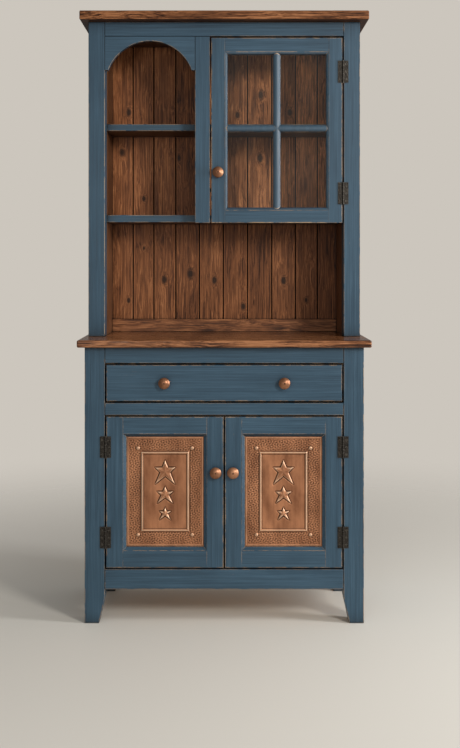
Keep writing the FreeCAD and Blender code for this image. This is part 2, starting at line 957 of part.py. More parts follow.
def door_frame(section, moulding, x0, x1, y, z0, z1, stile_flat, bottom_flat, top_flat):
    """Two stiles and two rails, tenoned together, their mouldings mitred in the corners."""
    blank = board(x0, x1, y, y + door_thickness, z0, z1)
    upright = Vector(0, 0, z1 - z0)
    across = Vector(x1 - x0 - 2 * stile_flat, 0, 0)
    left_x = x0 + stile_flat
    right_x = x1 - stile_flat
    start, steps = section(stile_flat)
    left = outline_face(start, steps, lambda u, v: Vector(x0 + u, y + v, z0)).extrude(upright)
    right = outline_face(start, steps, lambda u, v: Vector(x1 - u, y + v, z0)).extrude(upright)
    start, steps = section(bottom_flat)
    bottom = outline_face(start, steps, lambda u, v: Vector(left_x, y + v, z0 + u)).extrude(across)
    start, steps = section(top_flat)
    top = outline_face(start, steps, lambda u, v: Vector(left_x, y + v, z1 - u)).extrude(across)
    tenon_y0 = y + (door_thickness - door_tenon_thickness) / 2
    tenon_y1 = tenon_y0 + door_tenon_thickness
    rails = []
    stile_cuts = []
    for rail, low, high, inner_z, end, z_end in (
        (bottom, z0, z0 + bottom_flat, z0 + bottom_flat, 1, z0),
        (top, z1 - top_flat, z1, z1 - top_flat, -1, z1),
    ):
        low += door_tenon_shoulder
        high -= door_tenon_shoulder
        tenons = [
            box(left_x - door_tenon_length, left_x, tenon_y0, tenon_y1, low, high),
            box(right_x, right_x + door_tenon_length, tenon_y0, tenon_y1, low, high),
        ]
        rail_cuts = []
        for corner_x, side in ((left_x, 1), (right_x, -1)):
            from_rail, from_stile = mitre_waste(corner_x, inner_z, side, end, moulding, z_end, y)
            rail_cuts.append(from_rail)
            stile_cuts.append(from_stile)
        rails.append(joined(rail.cut(rail_cuts).common(blank), tenons))
        stile_cuts += tenons
    stiles = [stile.common(blank).cut(stile_cuts) for stile in (left, right)]
    return stiles, rails


def star(width, height, x, y, z):
    """A tall five-pointed star, rising to a low peak in front of the sheet."""
    left_half = [(-u, v) for u, v in reversed(star_half_outline[1:-1])]
    ring = list(star_half_outline) + left_half
    rim = [Vector(x + u * width, y, z + v * height) for u, v in ring]
    peak = Vector(x, y - star_height_in_relief, z + star_peak_share * height)
    faces = [Part.Face(Part.makePolygon(rim + rim[:1]))]
    for here, there in zip(rim, rim[1:] + rim[:1]):
        faces.append(Part.Face(Part.makePolygon([here, there, peak, here])))
    solid = Part.Solid(Part.Shell(faces))
    if solid.Volume < 0:
        solid.reverse()
    return solid


def relief_frame(x, y, z):
    """The raised bead round the stars."""
    width = relief_frame_width / 2
    height = relief_frame_height / 2
    inset = relief_bead_width
    outer = box(x - width, x + width, y - relief_bead_height, y, z - height, z + height)
    outer = outer.makeChamfer(
        relief_bead_height / 2, edges_in_plane(outer, "y", y - relief_bead_height)
    )
    inner = box(
        x - width + inset, x + width - inset, y - relief_bead_height, y,
        z - height + inset, z + height - inset,
    )
    return outer.cut(inner)


def corner_boss(x, y, z):
    """A low round boss, cut from a ball."""
    rise = corner_boss_height
    ball_radius = ball_over(corner_boss_radius, rise)
    ball = Part.makeSphere(ball_radius, Vector(x, y + ball_radius - rise, z))
    slab = box(
        x - corner_boss_radius * 2, x + corner_boss_radius * 2, y - rise * 2, y,
        z - corner_boss_radius * 2, z + corner_boss_radius * 2,
    )
    return ball.common(slab)


def lower_panel_room():
    """The rebate behind a left door's opening: its corners in X and Z."""
    stile_edge = lower_stile_flat + bevel_width - rebate_width
    rail_edge = lower_rail_flat + bevel_width - rebate_width
    return (
        lower_door_x0 + stile_edge, lower_door_x1 - stile_edge,
        lower_door_z0 + rail_edge, lower_door_z1 - rail_edge,
    )


def copper_panel():
    """The left door's copper sheet, with a bead, four bosses and three stars on it."""
    x0, x1, z0, z1 = lower_panel_room()
    face = base_front + panel_recess
    x = (x0 + x1) / 2
    z = (z0 + z1) / 2
    sheet = box(x0, x1, face, face + copper_thickness, z0, z1)
    raised = [relief_frame(x, face, z)]
    for side in (-1, 1):
        for end in (-1, 1):
            boss_x = x + side * (relief_frame_width / 2 + corner_boss_outset_x)
            boss_z = z + end * (relief_frame_height / 2 + corner_boss_outset_z)
            raised.append(corner_boss(boss_x, face, boss_z))
    for width, height, lift in star_sizes:
        raised.append(star(width, height, x, face, z + lift))
    return sheet.multiFuse(raised)


def lower_backing():
    """The board behind a copper sheet, and the four strips that hold both in."""
    x0, x1, z0, z1 = lower_panel_room()
    y0 = base_front + panel_recess + copper_thickness
    y1 = y0 + backing_thickness
    y2 = base_front + door_thickness
    strip = rebate_width
    return [
        box(x0, x1, y0, y1, z0, z1),
        box(x0, x0 + strip, y1, y2, z0, z1),
        box(x1 - strip, x1, y1, y2, z0, z1),
        box(x0 + strip, x1 - strip, y1, y2, z0, z0 + strip),
        box(x0 + strip, x1 - strip, y1, y2, z1 - strip, z1),
    ]


def lower_door_frame():
    """The left door's stiles and rails, drilled for its hinges and its knob."""
    stiles, rails = door_frame(
        bevel_section, bevel_width,
        lower_door_x0, lower_door_x1, base_front, lower_door_z0, lower_door_z1,
        lower_stile_flat, lower_rail_flat, lower_rail_flat,
    )
    places = door_screw_places(left_hinges)
    hinge_stile = drilled(stiles[0], places, towards_back, hinge_screw_length)
    hole = knob_hole(lower_knob_x, base_front, lower_door_back, lower_knob_z)
    return [hinge_stile, stiles[1].cut(hole)] + rails


def lower_strike():
    """The strike plate on the back of the left door, in front of its catch."""
    x1 = lower_door_x1 - strike_inset
    z1 = door_opening_top - door_stop_drop
    return box(
        x1 - strike_width, x1, lower_door_back, lower_door_back + strike_thickness,
        z1 - strike_height, z1,
    )


def lower_catch():
    """The left door's magnet catch, under the door stop."""
    x1 = lower_door_x1 - strike_inset
    z1 = door_opening_top - door_stop_drop
    y0 = lower_door_back + strike_thickness + catch_gap
    return box(x1 - strike_width, x1, y0, y0 + catch_depth, z1 - catch_height, z1)


def door_ironwork(hinges, strike, knob_x, knob_z, face_y, back_y):
    """What is screwed to a door: moving leaves, their screws, knob screw and strike."""
    leaves = [hinge_leaf(*hinge, 1) for hinge in hinges]
    screws = [
        screw(place, towards_back, hinge_screw_length) for place in door_screw_places(hinges)
    ]
    return leaves + screws + [knob_screw(knob_x, face_y, back_y, knob_z), strike]


# Glazed door

glass_x0 = glazed_x0 + glazed_stile_flat + bead_width
glass_x1 = glazed_x1 - glazed_stile_flat - bead_width
glass_z0 = glazed_z0 + glazed_bottom_rail_flat + bead_width
glass_z1 = glazed_z1 - glazed_top_rail_flat - bead_width
bar_x = (glass_x0 + glass_x1) / 2
bar_z = (glass_z0 + glass_z1) / 2 + cross_bar_lift
glass_front = hutch_front + glass_recess
glass_back = glass_front + glass_thickness


def bar_face(place):
    """Section of a glazing bar: a round nose in front and a thin stem behind."""
    half = bar_width / 2
    stem = bar_stem / 2
    return outline_face(
        (-half, glass_recess),
        [
            (0.0, bar_nose, half, glass_recess),
            (stem, glass_recess),
            (stem, door_thickness),
            (-stem, door_thickness),
            (-stem, glass_recess),
        ],
        place,
    )


def glazing_bars(stiles, rails):
    """One upright bar and two cross bars, their ends coped to what they meet."""
    low = glass_z0 - bead_width
    upright = bar_face(lambda u, v: Vector(bar_x + u, hutch_front + v, low))
    upright = upright.extrude(Vector(0, 0, glass_z1 - glass_z0 + 2 * bead_width))
    upright = upright.cut(rails)
    left = glass_x0 - bead_width
    cross = bar_face(lambda u, v: Vector(left, hutch_front + v, bar_z + u))
    cross = cross.extrude(Vector(glass_x1 - glass_x0 + 2 * bead_width, 0, 0))
    cross = cross.cut(stiles + [upright])
    return [upright, cross]


def pane_rooms():
    """The four rebates for glass: low and high corners in X and Z."""
    stem = bar_stem / 2
    columns = ((glass_x0 - rebate_width, bar_x - stem), (bar_x + stem, glass_x1 + rebate_width))
    rows = ((glass_z0 - rebate_width, bar_z - stem), (bar_z + stem, glass_z1 + rebate_width))
    return [(x0, x1, z0, z1) for x0, x1 in columns for z0, z1 in rows]


def glass_panes():
    return [
        box(x0 + glass_play, x1 - glass_play, glass_front, glass_back,
            z0 + glass_play, z1 - glass_play)
        for x0, x1, z0, z1 in pane_rooms()
    ]


def glazing_beads():
    """Four strips behind each pane."""
    beads = []
    y1 = hutch_front + door_thickness
    width = glazing_bead_width
    for x0, x1, z0, z1 in pane_rooms():
        beads.append(box(x0, x0 + width, glass_back, y1, z0, z1))
        beads.append(box(x1 - width, x1, glass_back, y1, z0, z1))
        beads.append(box(x0 + width, x1 - width, glass_back, y1, z0, z0 + width))
        beads.append(box(x0 + width, x1 - width, glass_back, y1, z1 - width, z1))
    return beads


def glazed_door_frame():
    """The glazed door's stiles and rails, and its bars."""
    stiles, rails = door_frame(
        bead_section, bead_width,
        glazed_x0, glazed_x1, hutch_front, glazed_z0, glazed_z1,
        glazed_stile_flat, glazed_bottom_rail_flat, glazed_top_rail_flat,
    )
    bars = glazing_bars(stiles, rails)
    places = door_screw_places(glazed_hinges)
    hole = knob_hole(glazed_knob_x, hutch_front, glazed_back, glazed_knob_z)
    stiles = [stiles[0].cut(hole), drilled(stiles[1], places, towards_back, hinge_screw_length)]
    return stiles, rails, bars


def glazed_catch():
    """The glazed door's magnet catch, on the side of the divider."""
    y0 = glazed_back + strike_thickness + catch_gap
    z1 = glazed_knob_z - glazed_catch_drop
    return box(
        divider_x1, divider_x1 + glazed_catch_reach, y0, y0 + catch_depth,
        z1 - catch_height, z1,
    )


def glazed_strike():
    z1 = glazed_knob_z - glazed_catch_drop
    x0 = glazed_x0 + edge_ease
    return box(
        x0, x0 + strike_width, glazed_back, glazed_back + strike_thickness,
        z1 - strike_height, z1,
    )


# Hutch

def hutch_side_panel():
    """The flat panel in the right side of the hutch."""
    return box(
        hutch_panel_x0, hutch_panel_x1,
        hutch_post_back - panel_groove, hutch_rear_post_front + panel_groove,
        counter_top_z + hutch_bottom_side_rail_height - panel_groove,
        hutch_top - hutch_top_side_rail_height + panel_groove,
    )


def hutch_top_rail_tenons():
    return cross_tenons(
        hutch_inner_x, hutch_front, hutch_rail_back, hutch_opening_top, hutch_top
    )


def hutch_front_post():
    """The right front post, from the counter to the top board."""
    post = board(
        hutch_inner_x, hutch_x, hutch_front, hutch_post_back, counter_top_z, hutch_top
    )
    post = post.cut(
        hutch_top_rail_tenons() + hutch_side_rail_tenons() + [hutch_side_panel()]
    )
    return post


def hutch_rear_post():
    """The right rear post, behind the lining, with a pocket for the strap."""
    post = board(
        hutch_lining_x, hutch_x, hutch_rear_post_front, hutch_back, counter_top_z, hutch_top
    )
    post = post.cut(hutch_side_rail_tenons() + [hutch_side_panel(), strap_blank()])
    return drilled(post, strap_screw_places()[1:], towards_front, strap_screw_length)


def strap_blank():
    """The right strap before drilling, flush with the backs of hutch and counter."""
    return box(
        strap_x - strap_width / 2, strap_x + strap_width / 2,
        hutch_back - strap_thickness, hutch_back,
        counter_top_z - strap_below, counter_top_z + strap_above,
    )


def strap_screw_places():
    """The right strap's screws: one in the counter's edge, two in the rear post."""
    lifts = [-counter_thickness / 2] + [strap_above * share for share in strap_screw_shares]
    return [Vector(strap_x, hutch_back, counter_top_z + lift) for lift in lifts]


def hutch_side_rail(z0, z1):
    rail = board(
        hutch_side_rail_x0, hutch_side_rail_x1, hutch_post_back, hutch_rear_post_front, z0, z1
    )
    tenons = depth_tenons(
        hutch_post_back, hutch_rear_post_front, hutch_side_rail_x0, hutch_side_rail_x1, z0, z1
    )
    return joined(rail, tenons).cut(hutch_side_panel())


def hutch_top_rail():
    rail = board(
        -hutch_inner_x, hutch_inner_x, hutch_front, hutch_rail_back, hutch_opening_top, hutch_top
    )
    return joined(rail, hutch_top_rail_tenons()).cut(mid_stile_tenon())


def mid_stile_tenon():
    middle = (hutch_front + hutch_rail_back) / 2
    return box(
        mid_stile_x0 + tenon_shoulder, mid_stile_x1 - tenon_shoulder,
        middle - tenon_thickness / 2, middle + tenon_thickness / 2,
        hutch_opening_top, hutch_opening_top + tenon_length,
    )


def hutch_mid_stile():
    stile = board(
        mid_stile_x0, mid_stile_x1, hutch_front, hutch_rail_back,
        hutch_frame_bottom, hutch_opening_top,
    )
    return joined(stile, [mid_stile_tenon()])


def hutch_arch_board():
    """The board over the open cubby, its lower edge an arch between two short ears."""
    x0 = -hutch_inner_x
    x1 = mid_stile_x0
    z0 = hutch_opening_top - arch_board_height
    z1 = hutch_opening_top
    blank = outline_face(
        (x0, z0),
        [
            (x0 + arch_ear, z0),
            ((x0 + x1) / 2, z0 + arch_rise, x1 - arch_ear, z0),
            (x1, z0),
            (x1, z1),
            (x0, z1),
        ],
        lambda x, z: Vector(x, hutch_front, z),
    ).extrude(Vector(0, arch_board_thickness, 0))
    return blank.makeChamfer(seam_chamfer, edges_in_plane(blank, "y", hutch_front))


def shelf_room(x0, x1, z0, z1):
    """A shelf behind its painted front edge, up to the back boards."""
    return box(x0, x1, hutch_post_back + shelf_edge_thickness, back_board_face, z0, z1)


def hutch_bottom_shelf():
    reach = hutch_inner_x + shelf_housing
    return shelf_room(-reach, reach, bottom_shelf_z, bottom_shelf_top)


def hutch_mid_shelves():
    reach = hutch_inner_x + shelf_housing
    return [
        shelf_room(-reach, divider_x0 + divider_housing, mid_shelf_z, mid_shelf_top),
        shelf_room(divider_x1 - divider_housing, reach, mid_shelf_z, mid_shelf_top),
    ]


def hutch_shelf_edges():
    """The painted edges along the fronts of the three shelves."""
    y0 = hutch_post_back
    y1 = y0 + shelf_edge_thickness
    return [
        board(-hutch_inner_x, hutch_inner_x, y0, y1, bottom_shelf_z, bottom_shelf_top),
        board(-hutch_inner_x, divider_x0, y0, y1, mid_shelf_z, mid_shelf_top),
        board(divider_x1, hutch_inner_x, y0, y1, mid_shelf_z, mid_shelf_top),
    ]


def hutch_linings():
    """The boards inside the two sides, housed for the shelves."""
    lining = box(
        hutch_inner_x, hutch_lining_x, hutch_post_back, back_board_face,
        counter_top_z, ceiling_z,
    )
    shelves = [hutch_bottom_shelf()] + hutch_mid_shelves()
    return [piece.cut(shelves) for piece in both(lining)]


def hutch_divider():
    """The upright board between the open cubby and the glazed bays."""
    upper = box(
        divider_x0, divider_x1, hutch_rail_back, back_board_face, bottom_shelf_top, ceiling_z
    )
    nose = box(
        divider_x0, divider_x1, hutch_rail_back, hutch_post_back, bottom_shelf_z, bottom_shelf_top
    )
    return joined(upper, [nose]).cut(hutch_mid_shelves())


def hutch_ceiling():
    ceiling = box(
        -hutch_lining_x, hutch_lining_x, hutch_rail_back, back_board_face, ceiling_z, ceiling_top
    )
    post = box(
        hutch_inner_x, hutch_x, hutch_front, hutch_post_back, counter_top_z, hutch_top
    )
    return ceiling.cut(both(post))


def hutch_back_boards():
    """Tongued and grooved upright boards, bevelled where they meet."""
    boards = []
    total = sum(back_board_shares)
    count = len(back_board_shares)
    width = 2 * hutch_lining_x
    front = back_board_face
    back = hutch_back
    middle = (front + back) / 2
    slot = tongue_thickness / 2
    tongue = slot - tongue_play / 2
    x0 = -hutch_lining_x
    for index, share in enumerate(back_board_shares):
        x1 = x0 + width * share / total
        first = index == 0
        last = index == count - 1
        right = x1 if last else x1 - board_gap
        bevel_left = 0.0 if first else board_bevel
        bevel_right = 0.0 if last else board_bevel
        steps = [(right - board_bevel, front), (right, front + board_bevel)]
        if last:
            steps = [(right, front)]
        else:
            steps += [
                (right, middle - tongue),
                (right + tongue_length, middle - tongue),
                (right + tongue_length, middle + tongue),
                (right, middle + tongue),
            ]
        steps += [(right, back), (x0, back)]
        if first:
            start = (x0, front)
        else:
            depth = tongue_length + tongue_play
            steps += [
                (x0, middle + slot),
                (x0 + depth, middle + slot),
                (x0 + depth, middle - slot),
                (x0, middle - slot),
                (x0, front + board_bevel),
            ]
            start = (x0 + board_bevel, front)
        face = outline_face(start, steps, lambda x, y: Vector(x, y, counter_top_z))
        boards.append(face.extrude(Vector(0, 0, hutch_top - counter_top_z)))
        x0 = x1
    return boards


def hutch_back_rail():
    """The low rail along the back of the counter."""
    return board(
        -hutch_inner_x, hutch_inner_x, back_board_face - back_rail_thickness, back_board_face,
        counter_top_z, counter_top_z + back_rail_height,
    )


def hutch_top_board():
    slab = box(
        -hutch_x - top_side_overhang, hutch_x + top_side_overhang,
        hutch_front - top_front_overhang, hutch_back,
        hutch_top, hutch_top + top_board_thickness,
    )
    return slab.makeFillet(top_edge_radius, slab.Edges)


def counter_board():
    slab = box(-counter_x, counter_x, counter_front, counter_back, base_top, counter_top_z)
    slab = slab.makeFillet(counter_edge_radius, slab.Edges)
    slab = slab.cut(both(strap_blank()))
    up_holes = [screw_hole(place, upwards, counter_screw_length)
                for place in counter_screw_places()]
    edge_hole = screw_hole(strap_screw_places()[0], towards_front, strap_screw_length)
    return slab.cut([piece for hole in up_holes + [edge_hole] for piece in both(hole)])


def case_screws():
    """Every screw that stays with the case."""
    screws = []
    for place in case_screw_places(all_hinges):
        screws.append(screw(place, towards_back, hinge_screw_length))
    for place in counter_screw_places():
        screws += both(screw(place, upwards, counter_screw_length))
    for place in strap_screw_places():
        screws += both(screw(place, towards_front, strap_screw_length))
    return screws


os.makedirs("parts", exist_ok=True)

# Base
save("base_front_posts", both(base_front_post()))
save("base_rear_posts", both(base_rear_post()))
for name, span in zip(("base_bottom_rail", "base_mid_rail", "base_top_rail"), front_rail_spans):
    save(name, [base_front_rail(*span)])
save("base_back_rails", [base_back_rail(*span) for span in back_rail_spans])
save("base_side_rails", [piece for span in side_rail_spans for piece in both(base_side_rail(*span))])
save("base_side_panels", both(base_side_panel()))
save("base_back_panel", [base_back_panel()])
save("base_floor", [base_floor()])
save("base_shelf", [base_shelf()])
save("base_cleats", base_cleats())
save("counter_top", [counter_board()])

# Drawer and its ways
save("drawer_runners", both(drawer_runner()) + both(drawer_guide()))
save("drawer_kickers", both(drawer_kicker()) + both(drawer_stop()))
save("drawer_front", [drawer_front()])
save("drawer_sides", both(drawer_side()))
save("drawer_back", [drawer_back()])
save("drawer_bottom", [drawer_bottom()])
save("drawer_knobs", both(knob(drawer_knob_offset, base_front, drawer_knob_z())))
save("drawer_knob_screws",
     both(knob_screw(drawer_knob_offset, base_front, drawer_face_back, drawer_knob_z())))

# Lower doors, the right one a mirror image of the left
left_door = {
    "frame": lower_door_frame(),
    "copper_panel": [copper_panel()],
    "backing": lower_backing(),
    "knob": [knob(lower_knob_x, base_front, lower_knob_z)],
    "ironwork": door_ironwork(
        left_hinges, lower_strike(), lower_knob_x, lower_knob_z, base_front, lower_door_back
    ),
}
for name, pieces in left_door.items():
    save("left_door_" + name, pieces)
    save("right_door_" + name, [mirrored(piece) for piece in pieces])

# Hutch
save("hutch_front_posts", [
    drilled(hutch_front_post(), case_screw_places(glazed_hinges), towards_back, hinge_screw_length),
    mirrored(hutch_front_post()),
])
save("hutch_rear_posts", both(hutch_rear_post()))
save("hutch_side_rails",
     [piece for span in hutch_side_rail_spans for piece in both(hutch_side_rail(*span))])
save("hutch_side_panels", both(hutch_side_panel()))
save("hutch_top_rail", [hutch_top_rail()])
save("hutch_mid_stile", [hutch_mid_stile()])
save("hutch_arch_board", [hutch_arch_board()])
save("hutch_bottom_shelf", [hutch_bottom_shelf()])
save("hutch_mid_shelves", hutch_mid_shelves())
save("hutch_shelf_edges", hutch_shelf_edges())
save("hutch_divider", [hutch_divider()])
save("hutch_ceiling", [hutch_ceiling()])
save("hutch_back_boards", hutch_back_boards())
save("hutch_back_rail", [hutch_back_rail()])
save("hutch_top_board", [hutch_top_board()])
save("hutch_side_linings", hutch_linings())

# Glazed door
glazed_stiles, glazed_rails, glazed_bars = glazed_door_frame()
save("glazed_door_frame", glazed_stiles + glazed_rails)
save("glazed_door_bars", glazed_bars)
save("glazed_door_panes", glass_panes())
save("glazed_door_beads", glazing_beads())
save("glazed_door_knob", [knob(glazed_knob_x, hutch_front, glazed_knob_z)])
save("glazed_door_ironwork", door_ironwork(
    glazed_hinges, glazed_strike(), glazed_knob_x, glazed_knob_z, hutch_front, glazed_back
))

# Fittings that stay with the case
save("fixed_hinge_leaves", [
    hinge_leaf(axis_x, face_y, z, height, -side, 0)
    for axis_x, face_y, z, height, side in all_hinges
])
save("hinge_pins", [hinge_pin(*hinge[:4]) for hinge in all_hinges])
save("magnet_catches", both(lower_catch()) + [glazed_catch()])
save("case_screws", case_screws())
strap = drilled(strap_blank(), strap_screw_places(), towards_front, strap_screw_length)
save("hutch_straps", both(strap))
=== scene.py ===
import math

import bpy
import numpy as np
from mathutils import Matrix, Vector


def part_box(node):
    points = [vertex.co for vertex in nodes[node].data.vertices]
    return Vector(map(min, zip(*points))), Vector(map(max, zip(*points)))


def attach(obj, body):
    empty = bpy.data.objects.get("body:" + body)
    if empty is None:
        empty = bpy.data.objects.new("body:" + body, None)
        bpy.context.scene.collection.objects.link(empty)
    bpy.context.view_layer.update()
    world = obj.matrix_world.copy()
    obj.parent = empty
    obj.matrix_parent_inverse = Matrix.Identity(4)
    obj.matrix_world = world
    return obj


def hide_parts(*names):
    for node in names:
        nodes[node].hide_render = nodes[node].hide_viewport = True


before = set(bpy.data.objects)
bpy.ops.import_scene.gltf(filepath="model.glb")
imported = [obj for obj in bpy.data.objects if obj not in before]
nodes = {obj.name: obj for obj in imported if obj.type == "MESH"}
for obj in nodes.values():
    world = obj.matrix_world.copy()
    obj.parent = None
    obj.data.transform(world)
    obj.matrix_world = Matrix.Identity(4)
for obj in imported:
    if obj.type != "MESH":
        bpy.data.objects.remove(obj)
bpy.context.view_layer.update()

MM = 0.001

# Camera, solved from the photograph: straight on, level, with the frame shifted
photo_size = (460, 748)
focal_px = 1135.4
horizon_px = 258.0
centre_px = 224.25
camera_distance = 3.732
camera_height = 1.138
camera_sight = 200.0
sensor_width = 36.0

# Room: display tones, the floor's fade in metres, and the daylight from the window's way
floor_half = 12.0
floor_tone = (226, 221, 212)
floor_fade = (0.45, 3.0)
ground_tone = (204, 198, 189)
daylight_tone = (246, 244, 240)
window_way = (0.62, -0.72, 0.32)
daylight_spread = (-0.35, 1.0)
daylight_strength = (0.26, 0.54)

# Widths of the ten back boards, as shares of the whole, and of the flat of the doors' stiles
board_shares = (84, 72, 76, 82, 83, 84, 84, 82, 76, 77)
lower_stile_flat = 52.5 * MM
glazed_stile_flat = 45.5 * MM

# Knots of the back boards that show in the photograph: X, Z and radius in metres
board_knots = (
    (-0.331, 1.643, 0.010), (-0.355, 1.504, 0.010), (-0.158, 1.485, 0.008), (-0.279, 1.344, 0.007),
    (0.127, 1.704, 0.011), (0.046, 1.634, 0.009), (0.228, 1.643, 0.010), (0.124, 1.485, 0.011),
    (0.206, 1.060, 0.011), (0.066, 0.970, 0.009), (0.284, 0.992, 0.006), (-0.034, 1.061, 0.010),
    (-0.208, 1.063, 0.010), (-0.118, 1.083, 0.012), (-0.332, 0.991, 0.007), (-0.279, 1.172, 0.005),
)

# Relief of the copper sheets, in millimetres, round the middle of each sheet
grid_step = 1.25
sheet_thickness = 1.0
opening_width = 241.0
opening_height = 343.5
plain_rim = 8.5
plain_rim_ease = 1.0
rim_ridge = 0.9
rim_ridge_place = 4.0
rim_ridge_width = 1.8
bead_width = 7.0
bead_height = 2.6
bead_groove = 0.7
bead_groove_width = 1.5
frame_width = 149.0
frame_height = 248.0
boss_radius = 6.0
boss_height = 2.6
boss_outset = (10.0, 11.5)
boss_clear = 3.0

# Punched ground of the sheets: waves, their pitch in millimetres and their turns in radians
punch_waves = 11
punch_height = 0.42
punch_pitch = 7.4
punch_pitch_spread = 0.12
punch_pitch_turn = 5.0
punch_way_turn = 2.4
punch_phase_turn = 1.9
punch_margin = 1.8
punch_ease = 1.5

# Stars of the sheets: width, height and lift of each, and the right half as shares of these
star_sizes = ((64.0, 75.0, 57.0), (50.0, 53.0, -13.0), (36.0, 39.0, -71.0))
star_half = ((0, 0.54), (0.148, 0.25), (0.5, 0.245), (0.252, 0.03), (0.485, -0.46), (0, -0.13))
star_centre_lift = 0.06
star_peak = 4.5
star_wall = 1.6
star_wall_width = 1.6
star_groove = 1.0
star_groove_width = 1.4
star_groove_reach = 4
star_seam_slack = 1e-9

# Tarnish of the sheets: 0.5 is even clean ground
even_ground = 0.5
hollow_rounds = 5
hollow_span = 1.7
tooled_tarnish = 0.07


def tone(red, green, blue):
    """A display colour of 0 to 255 as the linear colour that the shaders take."""
    linear = []
    for value in (red, green, blue):
        share = value / 255
        linear.append(share / 12.92 if share <= 0.04045 else ((share + 0.055) / 1.055) ** 2.4)
    return (*linear, 1.0)


# Faces by the Y of the way they face, and the turn of the faces that ease an edge
squarely_front = -0.9
mostly_front = -0.5
eased_turn = math.sqrt(0.5)
eased_slack = (0.010, 0.020)


class Graph:
    """A material and the calls that build its nodes. Sockets and plain numbers both go in."""

    def __init__(self, name):
        self.material = bpy.data.materials.new(name)
        self.material.use_nodes = True
        self.tree = self.material.node_tree
        self.shader = self.tree.nodes["Principled BSDF"]
        self.place = self.add("ShaderNodeTexCoord").outputs["Object"]

    def add(self, kind, **settings):
        node = self.tree.nodes.new(kind)
        for key, value in settings.items():
            setattr(node, key, value)
        return node

    def put(self, value, socket):
        if isinstance(value, bpy.types.NodeSocket):
            self.tree.links.new(value, socket)
        else:
            socket.default_value = value

    def math(self, operation, first, second=0.0, clamp=False):
        node = self.add("ShaderNodeMath", operation=operation, use_clamp=clamp)
        for value, socket in zip((first, second), node.inputs):
            self.put(value, socket)
        return node.outputs[0]

    def plus(self, first, second):
        return self.math("ADD", first, second)

    def minus(self, first, second):
        return self.math("SUBTRACT", first, second)

    def times(self, first, second):
        return self.math("MULTIPLY", first, second)

    def larger(self, first, second):
        return self.math("MAXIMUM", first, second)

    def smaller(self, first, second):
        return self.math("MINIMUM", first, second)

    def between(self, value, low, high):
        """1 between low and high, 0 elsewhere."""
        return self.times(self.math("GREATER_THAN", value, low), self.math("LESS_THAN", value, high))

    def blend(self, *parts):
        """The sum of some values, each times its share."""
        *others, (value, share) = parts
        total = self.times(value, share)
        for value, share in reversed(others):
            total = self.plus(self.times(value, share), total)
        return total

    def scale(self, vector, factors):
        node = self.add("ShaderNodeVectorMath", operation="MULTIPLY")
        self.put(vector, node.inputs[0])
        self.put(factors, node.inputs[1])
        return node.outputs[0]

    def split(self, vector):
        node = self.add("ShaderNodeSeparateXYZ")
        self.put(vector, node.inputs[0])
        return node.outputs[0], node.outputs[1], node.outputs[2]

    def join(self, x, y, z):
        node = self.add("ShaderNodeCombineXYZ")
        for value, socket in zip((x, y, z), node.inputs):
            self.put(value, socket)
        return node.outputs[0]

    def noise(self, vector, scale=1.0, detail=3.0, roughness=0.5):
        node = self.add("ShaderNodeTexNoise", noise_dimensions="3D")
        self.put(vector, node.inputs["Vector"])
        node.inputs["Scale"].default_value = scale
        node.inputs["Detail"].default_value = detail
        node.inputs["Roughness"].default_value = roughness
        return node.outputs["Fac"]

    def cells(self, vector, scale=1.0, smooth=False):
        node = self.add("ShaderNodeTexVoronoi", feature="SMOOTH_F1" if smooth else "F1")
        self.put(vector, node.inputs["Vector"])
        node.inputs["Scale"].default_value = scale
        return node.outputs["Distance"]

    def range(self, value, low, high, at_low=0.0, at_high=1.0):
        """What lies between at_low and at_high, eased, as value goes from low to high."""
        node = self.add("ShaderNodeMapRange", interpolation_type="SMOOTHSTEP")
        for number, socket in zip((value, low, high, at_low, at_high), node.inputs):
            self.put(number, socket)
        return node.outputs[0]

    def fade(self, share, full):
        """1 where share is 0, eased to full where it is 1."""
        return self.range(share, 0.0, 1.0, 1.0, full)

    def ramp(self, value, tones, light=1.0):
        """Display colours at their places along value, all times light."""
        node = self.add("ShaderNodeValToRGB")
        band = node.color_ramp
        while len(band.elements) < len(tones):
            band.elements.new(0.5)
        for element, (position, colour) in zip(band.elements, tones):
            element.position = position
            element.color = tone(*(part * light for part in colour))
        self.put(value, node.inputs[0])
        return node.outputs[0]

    def mix(self, factor, first, second, blend="MIX"):
        node = self.add("ShaderNodeMix", data_type="RGBA", blend_type=blend)
        self.put(factor, node.inputs["Factor"])
        self.put(first, node.inputs[6])
        self.put(second, node.inputs[7])
        return node.outputs[2]

    def gain(self, colour, share):
        """The colour times share: darker under 1, paler over it."""
        return self.mix(1.0, colour, self.join(share, share, share), blend="MULTIPLY")

    def near(self, value, place, low, high):
        """1 where value is within low of place, falling to 0 at high."""
        away = self.math("ABSOLUTE", self.minus(value, place))
        return self.range(away, low, high, 1.0, 0.0)

    def inside(self, low_x, high_x, low_z, high_z):
        """1 between these X and Z values, 0 elsewhere."""
        x, _, z = self.split(self.place)
        return self.times(self.between(x, low_x, high_x), self.between(z, low_z, high_z))

    def outward(self):
        """The X, Y and Z of the way the surface faces, in the object's own frame."""
        return self.split(self.add("ShaderNodeTexCoord").outputs["Normal"])

    def rim(self, low, high, full, none):
        """1 on the front of a leaf up to full from its edges, falling to 0 at none."""
        x, _, z = self.split(self.place)
        level = self.smaller(self.minus(x, low.x), self.minus(high.x, x))
        upright = self.smaller(self.minus(z, low.z), self.minus(high.z, z))
        front = self.math("LESS_THAN", self.outward()[1], squarely_front)
        return self.times(front, self.range(self.smaller(level, upright), full, none, 1.0, 0.0))

    def open_share(self, distance, samples=6):
        """How open the surface lies: 1 on a bare face, less in a corner or a gap."""
        node = self.add("ShaderNodeAmbientOcclusion", samples=samples)
        node.inputs["Distance"].default_value = distance
        return node.outputs["AO"]

